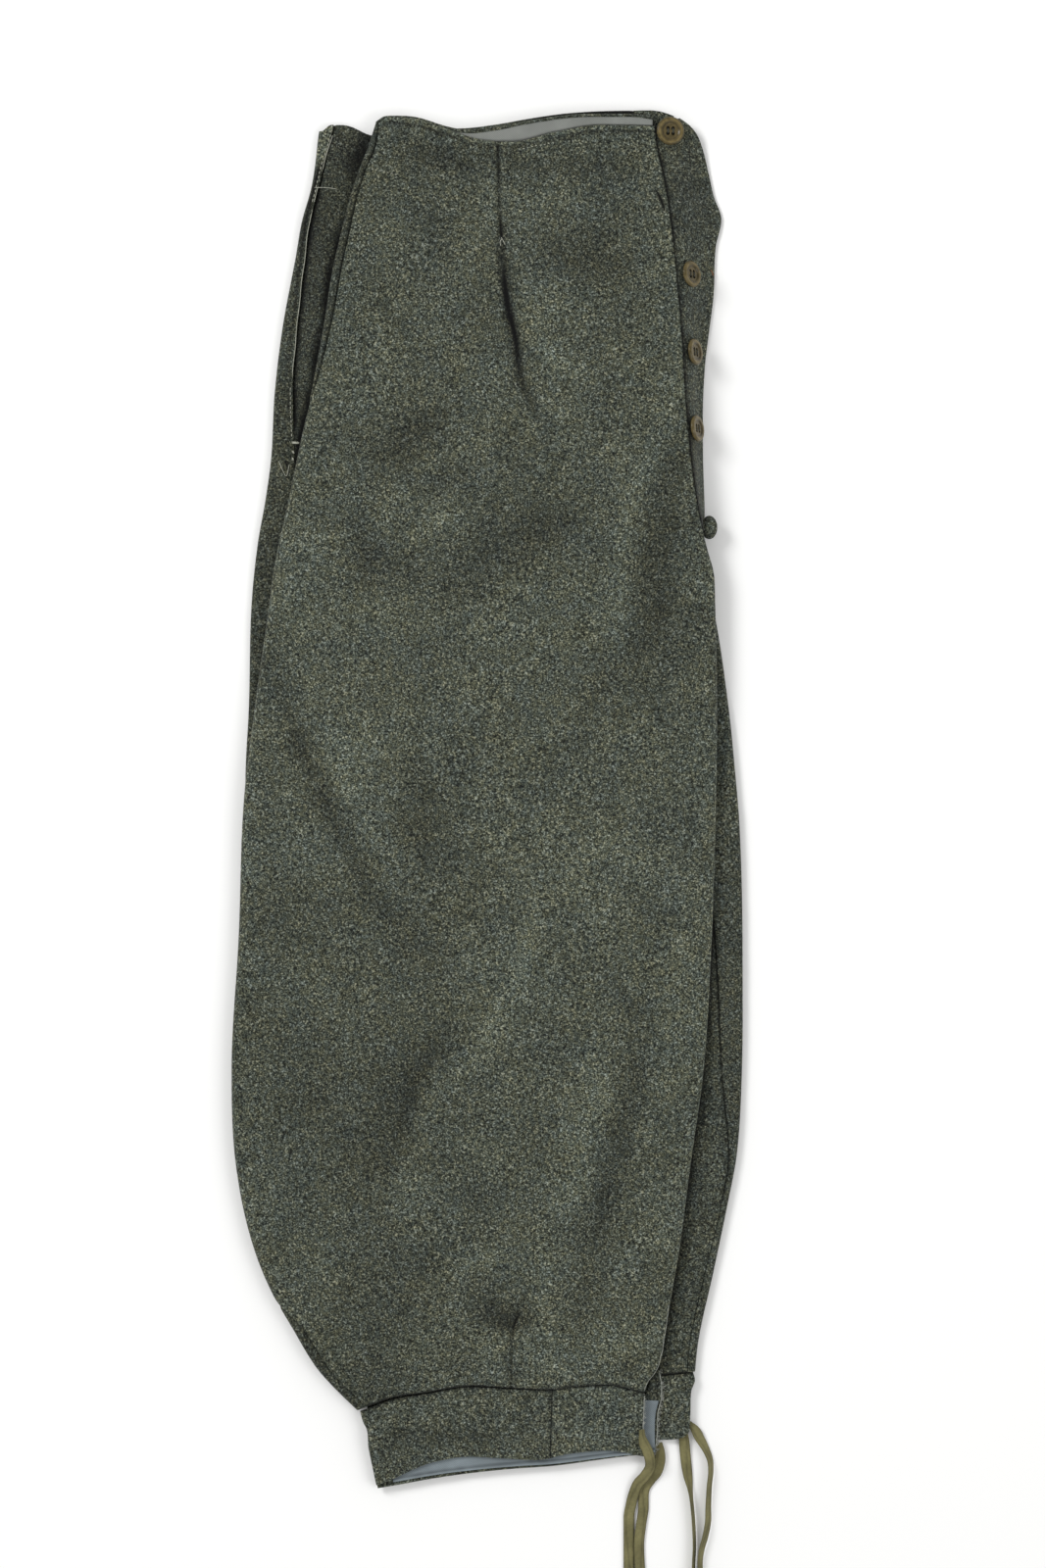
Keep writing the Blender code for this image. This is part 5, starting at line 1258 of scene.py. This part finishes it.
CUFF_SEAM = (45.6, 44.1)
CUFF_DEPTH = 50.0
RIGHT_CUFF_Z, BACK_CUFF_Z, CUFF_LINING_Z = 12.0, 6.7, 7.95      # heights of the outer faces
LEFT_BACK_CUFF_Z, LEFT_FRONT_CUFF_Z = 4.3, 2.1
LEAST_Z = 0.05           # no cuff's inner face lies lower


def edge_points(points, shares):
    """Points at given shares of an edge's length."""
    xy = np.stack([column(points, "x"), column(points, "y")], axis=1)
    run = np.concatenate([[0.0], np.cumsum(np.linalg.norm(np.diff(xy, axis=0), axis=1))])
    at = run[-1] * np.asarray(shares)
    return np.stack([smooth(run, xy[:, 0], at), smooth(run, xy[:, 1], at)], axis=1)


def patch(top, bottom, left, right, across, down):
    """A surface filling four edges: the blend of its sides less that of its corners."""
    u, v = across[None, :, None], down[:, None, None]
    a, b = edge_points(top, across)[None], edge_points(bottom, across)[None]
    c, d = edge_points(left, down)[:, None], edge_points(right, down)[:, None]
    corners = ((1 - u) * (1 - v) * a[:, :1] + u * (1 - v) * a[:, -1:]
               + (1 - u) * v * b[:, :1] + u * v * b[:, -1:])
    grid = (1 - v) * a + v * b + (1 - u) * c + u * d - corners
    return grid[..., 0], grid[..., 1]


def crowded(count, borders):
    """Shares from 0 to 1, closer together at both borders."""
    borders = np.array(borders)
    return np.concatenate([borders, np.linspace(borders[-1], 1 - borders[-1], count + 2)[1:-1],
                           1 - borders[::-1]])


def part_of(points, start, end, drop=0.0, count=14):
    """Part of a crosswise edge between two x values, lowered by a small gap."""
    xs = np.linspace(start, end, count)
    return [EdgePoint(float(a), float(edge_y(points, a)) - drop) for a in xs]


# %% Walls of the cuffs
def cuff_wall(name, node, borders, size, height, finish, seed, thick=WOOL, mouth=1.3,
              shading=None, seam_shadow=0.0):
    """One wall: height plus soft noise, drawn in at its seam and rolled over at its mouth."""
    across, down = crowded(size[0], (0.0, 0.006, 0.02)), crowded(size[1], (0.0, 0.012, 0.04))
    x, y = patch(*borders, across, down)
    from_top, from_mouth = down[:, None] * CUFF_DEPTH, (1 - down[:, None]) * CUFF_DEPTH
    z = height(x, y) + 0.28 * soft_noise(x, y, 15.0, seed) + 0.14 * soft_noise(x, y, 5.5, seed + 1)
    z = z - 0.7 * np.exp(-(from_top / 1.8) ** 2) - roll(from_mouth, mouth) * 0.8 + 0 * x
    outer = np.stack([x, y, z], axis=2)
    inner = outer - np.array([0, 0, thick])
    inner[..., 2] = np.maximum(inner[..., 2], LEAST_Z)
    rubbed_mouth, seam_line = np.exp(-from_mouth ** 2), np.exp(-from_top ** 2)
    shade = 0.08 * soft_noise(x, y, 12.0, seed + 2) + 0.30 * rubbed_mouth + seam_shadow * seam_line
    if shading is not None:
        shade = shade + shading(x, y, across[None, :])
    wall, area = cloth(name, node, outer, inner, finish, shade)


def right_cuff_height(x, y):
    """12 mm at the seam, sinking by 1.4 mm to the mouth, rolled down at the left side."""
    top, bottom = edge_y(LEG_HEM, x), edge_y(CUFF_HEM, x)
    v = np.clip((top - y) / (top - bottom), 0, 1)
    side = along(CUFF_LEFT_SIDE, "x", y)
    return RIGHT_CUFF_Z - 1.4 * v ** 2 - roll(np.clip(x - side, 0, None), 4.0, 80.0) * 0.6


def back_cuff_height(x, y):
    """6.7 mm, riding up where it lies on the left leg above its hem."""
    over_leg = np.clip((y - edge_y(LOWER_HEM, x)) / 14.0 + 1, 0, 1)
    return BACK_CUFF_Z + 1.6 * over_leg * np.clip((x - 104.0) / 8.0, 0, 1)


def left_cuff_height(x, y):
    """4.3 mm, puffed by 1.9 mm where nothing lies on it."""
    return LEFT_BACK_CUFF_Z + 1.9 * ease(x, 125.4, 134.4)


seam_top, seam_bottom = CUFF_SEAM
band_side = edge((seam_top, -423.6), (seam_bottom, -472.9))
tab_side = edge((seam_top + 0.4, -423.6), (seam_bottom + 0.4, -472.9))
# Band: dark seam at its right end, painted shade in a crease along its middle, and darker towards
# its left end.
cuff_wall("right_cuff_band_cloth", "right_cuff_band",
          (part_of(LEG_HEM, CUFF_LEFT_SIDE[0].x, seam_top, 0.5),
           part_of(CUFF_HEM, CUFF_LEFT_SIDE[-1].x, seam_bottom), CUFF_LEFT_SIDE, band_side),
          (72, 26), right_cuff_height, wool, 70,
          seam_shadow=-0.75,
          shading=lambda x, y, u: (-0.55 * np.exp(-((1 - u) / 0.007) ** 2)
                                   - 0.28 * np.exp(-((y + 456) / 6.0) ** 2) * ease(x, -80, -60)
                                   * (1 - ease(x, -5, 25)) - 0.10 * (1 - ease(x, -70, -30))))
cuff_wall("right_cuff_tab_cloth", "right_cuff_tab",
          (part_of(LEG_HEM, seam_top + 0.4, SLIT_FRONT_SIDE[0].x, 0.5),
           part_of(CUFF_HEM, seam_bottom + 0.4, SLIT_FRONT_SIDE[-1].x), tab_side, SLIT_FRONT_SIDE),
          (40, 26), right_cuff_height, wool, 74,
          seam_shadow=-0.75, shading=lambda x, y, u: 0.12 - 0.55 * np.exp(-(u / 0.012) ** 2))
# Back half: painted shade all over where it lies under the front and in the slit, a painted dark
# line in the slit near its light frayed edge.
cuff_wall("right_cuff_back_cloth", "right_cuff_back",
          (BACK_CUFF_TOP, BACK_CUFF_HEM, [EdgePoint(p.x + 1.0, p.y - 2.5) for p in CUFF_LEFT_SIDE],
           SLIT_BACK_SIDE), (96, 30), back_cuff_height, wool, 78, mouth=0.8,
          shading=lambda x, y, u: (-0.25 + 1.1 * ease(u, 0.992, 0.998)
                                   * (0.7 + 0.3 * soft_noise(x, y, 1.6, 5))
                                   - 0.35 * np.exp(-((u - 0.982) / 0.007) ** 2)))
lining_hem = [EdgePoint(p.x, p.y + 0.9) for p in BACK_CUFF_HEM[1:]]
cuff_wall("right_cuff_lining_twill", "right_cuff_lining",
          (LINING_TOP, lining_hem, [LINING_TOP[0], lining_hem[0]],
           [EdgePoint(p.x - 2.0, p.y) for p in SLIT_BACK_SIDE[2:-1]] + lining_hem[-1:]),
          (80, 44), lambda x, y: CUFF_LINING_Z + 0 * x, blue_twill, 82,
          thick=LINING, mouth=0.3,
          shading=lambda x, y, u: (
              -0.62 * np.exp(-((y - edge_y(BACK_CUFF_HEM, x) - 3.4) / 0.7) ** 2)
              - 0.10 * soft_noise(x, y, 5.0, 84)))
left_hem = [EdgePoint(p.x, p.y - 0.5) for p in LOWER_HEM]
left_hem[0], left_hem[-1] = LEFT_CUFF_LEFT_SIDE[0], LEFT_CUFF_SIDE[0]
left_borders = (left_hem, LEFT_CUFF_HEM, LEFT_CUFF_LEFT_SIDE, LEFT_CUFF_SIDE)
# Left cuff's back: painted shade where the right cuff lies beside and over it
cuff_wall("left_cuff_back_cloth", "left_cuff_back", left_borders, (84, 24), left_cuff_height,
          wool, 86, mouth=0.8, seam_shadow=-0.7,
          shading=lambda x, y, u: -0.1 * ease(130 - x, 0, 8))
cuff_wall("left_cuff_front_cloth", "left_cuff_front", left_borders, (60, 16),
          lambda x, y: LEFT_FRONT_CUFF_Z + 0 * x, wool, 90, thick=1.6, mouth=0.3)

# %% [markdown]
# ## Buttons
#
# The buttons are pressed or turned, about 19 mm across, khaki brown, with a raised rim, a
# dished middle and four holes. A button is a surface of revolution: a half section turned
# about its axis. The holes are four steep dips in its top face, and two bars of thread cross
# them. Each button stands on the cloth at the stand's slope, on a short shank of thread.

# %% Button shape
ButtonPlace = namedtuple("ButtonPlace", "name radius x y tilt turn")
BUTTONS = [ButtonPlace(*row) for row in (
    ("waist_button", 10.0, 129.5, 475.6, 12, 0),
    ("fly_button_1", 9.4, 143.0, 372.4, 50, 8),
    ("fly_button_2", 9.4, 145.2, 317.2, 60, 6),
    ("fly_button_3", 9.4, 146.6, 262.7, 63, 6),
)]
BUTTON_STANDOFF, BUTTON_THICK, HOLE_PITCH, HOLE_RADIUS = 1.3, 3.0, 1.9, 1.1


def button_frame(place):
    """Middle of the button's underside, and the axes of its face."""
    front = float(along(UPPER_LEG, "right", place.y)) + STAND_GAP
    share = (place.x - front) / (float(along(BUTTON_STAND, "outer", place.y)) - front)
    on_cloth = stand_at(np.float64(place.y), np.float64(share))
    tilt, turn = math.radians(place.tilt), math.radians(place.turn)
    facing = np.array([math.sin(tilt) * math.cos(turn), math.sin(tilt) * math.sin(turn),
                       math.cos(tilt)])
    axis = np.cross([0, 0, 1], facing)
    size = np.linalg.norm(axis)
    axis = axis / size
    k = np.array([[0, -axis[2], axis[1]], [axis[2], 0, -axis[0]], [-axis[1], axis[0], 0]])
    turned = np.eye(3) + size * k + (1 - facing[2]) * k @ k
    middle = np.array([place.x, place.y, on_cloth[2]]) + facing * BUTTON_STANDOFF
    return middle, turned


def button_top(radius, x, y):
    """Top face over the underside: rounded rim, dished middle, four dips for the holes."""
    r = np.hypot(x, y) / radius
    face = BUTTON_THICK - 0.95 * (1 - ease(r, 0.52, 0.70)) - 0.9 * ease(r, 0.86, 1.0) ** 2
    for sx in (-1, 1):
        for sy in (-1, 1):
            away = np.hypot(x - sx * HOLE_PITCH, y - sy * HOLE_PITCH)
            face = face - 1.5 * (1 - ease(away, HOLE_RADIUS - 0.25, HOLE_RADIUS + 0.25))
    return face


def button_piece(place, finish, sides=88):
    """Rings of the top face from its middle out, then the rim and the underside."""
    reach = np.concatenate([np.linspace(0.02, 0.5, 26), np.linspace(0.52, 1.0, 20)])
    around = np.linspace(0, 2 * np.pi, sides, endpoint=False)
    rx, ry = np.cos(around), np.sin(around)
    rings = []
    for r in reach:
        x, y = rx * r * place.radius, ry * r * place.radius
        rings.append(np.stack([x, y, button_top(place.radius, x, y)], -1))
    for r, h in ((1.0, 1.6), (1.0, 1.1), (0.96, 0.6), (0.86, 0.2), (0.7, 0.0), (0.02, 0.0)):
        rings.append(np.stack([rx * r * place.radius, ry * r * place.radius,
                               np.full(sides, h)], -1))
    local = np.concatenate(rings)
    middle, turned = button_frame(place)
    world = local @ turned.T + middle
    quads = turned_out(world, ring_quads(len(rings), sides))
    piece = mesh_object(place.name + "_horn", world, quads, finish)
    r = np.hypot(local[:, 0], local[:, 1]) / place.radius
    # Painted highlight round the rim, painted shade at the edge of the dish and in the four holes
    shade = 0.75 * np.exp(-((r - 0.82) / 0.06) ** 2) - 0.45 * np.exp(-((r - 0.60) / 0.05) ** 2)
    for sx, sy in ((-1, -1), (-1, 1), (1, -1), (1, 1)):
        away = np.hypot(local[:, 0] - sx * HOLE_PITCH, local[:, 1] - sy * HOLE_PITCH)
        shade -= 0.9 * (1 - ease(away, HOLE_RADIUS - 0.1, HOLE_RADIUS + 0.35))
    store_shade(piece, np.maximum(shade, -0.92))
    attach(piece, "root")
    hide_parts(place.name)
    return piece


for place in BUTTONS:
    piece = button_piece(place, horn)
print("button triangles:", len(piece.data.polygons) * 2)

# %% [markdown]
# ## Thread
#
# Thread is a thin round tube along a curve. Seams are many short stitches of it: one small
# bowed capsule, repeated along a path with its ends dipping into the cloth. A single mesh
# holds each row of stitches, so a hundred of them are one piece.

# %% Tubes and stitches
def tube_mesh(paths, radius, sides=6):
    """Points and quads of closed tubes along paths of points."""
    points, quads, start = [], [], 0
    for path in paths:
        path = np.asarray(path, float)
        ahead = np.gradient(path, axis=0)
        ahead /= np.linalg.norm(ahead, axis=1, keepdims=True)
        side = np.cross(ahead, [0.21, 0.35, 0.91])
        side /= np.linalg.norm(side, axis=1, keepdims=True)
        up = np.cross(side, ahead)
        around = np.linspace(0, 2 * np.pi, sides, endpoint=False)
        taper = np.ones(len(path))
        taper[0] = taper[-1] = 0.35
        ring = (side[:, None] * np.cos(around)[None, :, None]
                + up[:, None] * np.sin(around)[None, :, None]) * radius * taper[:, None, None]
        one = (path[:, None] + ring).reshape(-1, 3)
        points.append(one)
        quads.append(turned_out(one, ring_quads(len(path), sides)) + start)
        start += len(one)
    return np.concatenate(points), np.concatenate(quads)


def thread_piece(name, paths, radius, finish, sides=6):
    """Threads as one piece on the garment."""
    points, quads = tube_mesh(paths, radius, sides)
    piece = mesh_object(name, points, quads, finish)
    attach(piece, "root")
    print(f"{name}: {len(paths)} threads, {len(quads) * 2} triangles")
    return piece


def stitch_paths(x, y, z, length, seed=1, bow=0.35, sink=0.3):
    """Stitches centred on points of a line, along it, bowed up by a little."""
    x, y, z = (np.asarray(v, float) for v in (x, y, z))
    along_x, along_y, along_z = np.gradient(x), np.gradient(y), np.gradient(z)
    size = np.sqrt(along_x ** 2 + along_y ** 2 + along_z ** 2)
    way = np.stack([along_x / size, along_y / size, along_z / size], -1)
    wobble = np.random.default_rng(seed).uniform(-0.12, 0.12, (len(x), 3))
    middle = np.stack([x, y, z], -1) + wobble * [1, 1, 0.3]
    steps = np.array([-0.5, -0.3, 0.0, 0.3, 0.5])
    lift = bow * (1 - (2 * steps) ** 2) - sink * (2 * steps) ** 4
    paths = middle[:, None] + way[:, None] * steps[None, :, None] * length
    paths[..., 2] += lift[None, :]
    return list(paths)


# %% Pocket mouth, facings, tacks and darts
def rim_height(x, y):
    """Height of the front's cloth wrapped over the lower leg's left rim."""
    ripple = 0.35 * soft_noise(x, y, 19.0, 33) + 0.2 * soft_noise(x, y, 6.5, 34)
    groove = 0.5 * np.exp(-((x - along(LOWER_LEG, "seam_left", y)) / 1.6) ** 2)
    return along(LOWER_LEG, "z_left", y) + ripple - groove


y = np.concatenate([np.arange(480.0, 424.0, -3.3), np.arange(292.0, 258.0, -3.3)])
x = along(LOWER_LEG, "seam_left", y) - 1.5
thread_piece("pocket_stitches", stitch_paths(x, y, rim_height(x, y) + 0.15, 2.3, 2), 0.26,
             pale_thread)
cords = []
for top, bottom in ((474.0, 449.0), (437.0, 426.0), (421.0, 300.0)):
    y = np.linspace(top, bottom, 24)
    x = along(LOWER_LEG, "seam_left", y) - 0.2 + 0.25 * np.sin(y / 5.0)
    cords.append(np.stack([x, y, rim_height(x, y) + 0.30], -1))
x = np.linspace(-124.5, -107.0, 9)
y = 436.2 - 0.012 * np.clip(x + 118.0, 0, None) ** 2
cords.append(np.stack([x, y, lower_form(x, y) + 0.75], -1))
thread_piece("pocket_edge_threads", cords, 0.23, pale_thread)
x = np.arange(-82.6, -64.0, 2.8)
y = 448.4 + (x + 82.6) * (444.2 - 448.4) / 17.5
facing = stitch_paths(x, y, front_height(x, y), 1.6, 4, bow=0.25)
x = np.arange(22.4, 48.0, 3.0)
y = 462.4 + (x - 22.4) * (467.3 - 462.4) / 25.2
facing += stitch_paths(x, y, front_height(x, y), 1.3, 5, bow=0.2)
thread_piece("facing_stitches", facing, 0.28, pale_thread)

tacks = []
for x0, x1, y0, y1 in ((-140.6, -134.6, 253.8, 253.4), (-140.0, -138.6, 247.4, 246.2),
                       (-140.4, -138.8, 242.6, 241.4)):
    for shift in (-0.5, 0.0, 0.5):
        x = np.linspace(x0, x1, 5)
        y = np.linspace(y0, y1, 5) + shift
        tacks.append(np.stack([x, y, 8.0 + 0.4 * np.sin(np.linspace(0, np.pi, 5))], -1))
thread_piece("bar_tacks", tacks, 0.32, pale_thread)

rows_of_dart = []
for offset in (-2.9, 2.9):
    y = np.arange(-388.0, -424.0, -3.0)
    x = along(HEM_DART, "x", y) + offset
    rows_of_dart += stitch_paths(x, y, front_height(x, y), 2.0, 6, bow=0.25)
thread_piece("hem_dart_stitches", rows_of_dart, 0.26, dark_thread)

# %% Buttonhole, loose ends and lint
# The buttonhole's opening: a near-black tube, painted shade in the slit
hole = np.stack([np.array([119.2, 121.8, 123.2, 124.4, 125.6]),
                 np.array([432.3, 428.0, 424.8, 421.4, 417.3]), np.zeros(5)], -1)
hole[:, 2] = front_height(hole[:, 0], hole[:, 1]) - 0.1
thread_piece("buttonhole_slit_shadow", [hole], 0.85, slit_shadow_finish)
tack = hole[-1] + np.array([[-1.0, -0.4, 0.7], [-0.2, -1.2, 0.9], [0.7, -1.0, 0.7]])
thread_piece("buttonhole_tack", [tack], 0.30, pale_thread)
at = np.linspace(0, 4, 17)
hx, hy = np.interp(at, range(5), hole[:, 0]), np.interp(at, range(5), hole[:, 1])
bars = []
for k in range(17):
    for away in (-1, 1):
        start = np.array([hx[k] + 0.5 * away, hy[k] + 0.25 * away, 0])
        stop = np.array([hx[k] + 1.7 * away, hy[k] + 0.85 * away, 0])
        path = start + (stop - start) * np.linspace(0, 1, 4)[:, None]
        path[:, 2] = front_height(path[:, 0], path[:, 1]) + 0.15
        bars.append(path)
thread_piece("buttonhole_stitches", bars, 0.24, dark_thread)


def loose_thread(points, height):
    """A short thread lying on the cloth, through a few points."""
    points = np.array(points, float)
    at = np.linspace(0, len(points) - 1, 6 * len(points))
    x = smooth(np.arange(len(points)), points[:, 0], at)
    y = smooth(np.arange(len(points)), points[:, 1], at)
    return np.stack([x, y, height(x, y) + 0.35], -1)


def stand_height(x, y):
    """Height of the stand's face at a place on the garment."""
    front = along(UPPER_LEG, "right", y) + STAND_GAP
    share = (x - front) / (along(BUTTON_STAND, "outer", y) - front)
    return stand_at(y, np.clip(share, 0, 1))[..., 2] + 0.4


loose = [loose_thread([(-149.8, 240.5), (-147.0, 234.0), (-144.4, 229.8), (-142.2, 238.0)],
                      rim_height),
         loose_thread([(9.4, 399.5), (10.8, 397.0), (12.2, 394.0)], front_height),
         loose_thread([(9.8, 398.5), (8.6, 396.0), (9.0, 393.4)], front_height),
         loose_thread([(-125.4, 222.8), (-124.2, 222.2), (-123.4, 221.0)], lower_form),
         loose_thread([(134.6, 424.8), (136.0, 423.8), (137.2, 424.0)], stand_height)]
thread_piece("loose_threads", loose, 0.24, pale_thread)
thread_piece("rust_thread_end", [loose_thread([(159.4, 377.6), (160.6, 375.9), (161.0, 373.8)],
                                              stand_height)], 0.26, rust_thread)

# %% Button thread
button_threads = []
for place in BUTTONS:
    middle, turned = button_frame(place)
    for side in (-1, 1):
        s = np.linspace(-1, 1, 9)
        for shift in (-0.28, 0.28):
            local = np.stack([np.full(9, side * HOLE_PITCH + shift), s * HOLE_PITCH,
                              2.3 - 1.2 * np.abs(s) ** 3], -1)
            button_threads.append(local @ turned.T + middle)
    for k in range(6):
        turn = 2 * math.pi * k / 6
        s = np.linspace(0, 1, 5)
        local = np.stack([1.1 * np.cos(turn + s), 1.1 * np.sin(turn + s),
                          -BUTTON_STANDOFF - 0.2 + s * (BUTTON_STANDOFF + 0.4)], -1)
        button_threads.append(local @ turned.T + middle)
thread_piece("button_threads", button_threads, 0.34, dark_thread)

# %% Stitches of the fly's round end
around = np.linspace(0, 2 * np.pi, 19)[:-1]
fly_stitches = []
for k, angle in enumerate(around):
    inner_share, outer_share = 0.62, 0.95 + 0.05 * math.sin(3 * angle)
    s = np.linspace(inner_share, outer_share, 5)
    x = FLY_END[0] + FLY_END_RADII[0] * s * math.cos(angle)
    y = FLY_END[1] + FLY_END_RADII[1] * s * math.sin(angle)
    z = FLY_END[2] + FLY_END_RADII[2] * (1 - s ** 2.6) ** 0.5 + 0.35
    fly_stitches.append(np.stack([x, y, z], -1))
thread_piece("fly_end_stitches", fly_stitches, 0.30, dark_thread)

# %% [markdown]
# ## Frayed edges
#
# The slit of the right cuff was cut and only whipped, so pale fibres stand out along it. Each
# fibre is a bent hair; 250 with random turns and lengths make the fringe. A frayed thread runs
# down each side of the slit, and one along the last centimetres of the front's edge.

# %% Frayed fibres
def fibres_along(points, count, length, spread_out, height, seed):
    """Bent hairs started at random along an edge and turned by chance."""
    rng = np.random.default_rng(seed)
    at = np.sort(rng.uniform(0, 1, count))
    start = edge_points(points, at)
    turn = rng.uniform(-1.5, 1.5, count)
    size = length * rng.uniform(0.4, 1.3, count)
    bend = rng.uniform(-0.8, 0.8, count)
    s = np.linspace(0, 1, 5)
    angle = turn[:, None] + bend[:, None] * s[None, :]
    step = size[:, None] / 4
    x = start[:, :1] + np.cumsum(np.cos(angle) * step, axis=1)
    x = x + rng.normal(0, spread_out, (count, 1))
    y = start[:, 1:] + np.cumsum(np.sin(angle) * step, axis=1)
    z = height(x, y) + rng.uniform(0.0, 0.7, (count, 1)) + 0.3 * np.sin(np.pi * s)[None, :]
    return list(np.stack([x, y, z], -1))


slit_fray = fibres_along(SLIT_BACK_SIDE, 170, 1.5, 0.4,
                         lambda x, y: back_cuff_height(x, y) + 0.1, 7)
slit_fray += fibres_along(SLIT_FRONT_SIDE, 80, 1.5, 0.4, right_cuff_height, 8)
thread_piece("slit_fringe", slit_fray, 0.13, fray_fibre, sides=4)
slit_edges = []
for points, height, shift in ((SLIT_BACK_SIDE, back_cuff_height, -0.4),
                              (SLIT_FRONT_SIDE, right_cuff_height, 0.2)):
    xy = edge_points(points, np.linspace(0.03, 0.97, 60))
    x = xy[:, 0] + shift + 0.35 * soft_noise(xy[:, 0], xy[:, 1], 2.2, 91)
    slit_edges.append(np.stack([x, xy[:, 1], height(x, xy[:, 1]) + 0.25], -1))
thread_piece("slit_edge_threads", slit_edges, 0.30, fray_fibre)
y = np.linspace(-362.0, -424.0, 40)
x = along(UPPER_LEG, "right", y) - 0.9 + 0.4 * soft_noise(y, 0 * y, 3.0, 92)
thread_piece("front_edge_thread", [np.stack([x, y, upper_form(x, y) + 0.3], -1)], 0.2,
             fray_fibre)

# %% [markdown]
# ## Size of the dressed trousers
#
# The corners of the box round all that renders, the floor left out. The dressed
# trousers may stand proud of the solids by no more than soft cloth does.

# %% Finish
low, high = (np.array(corner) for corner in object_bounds())
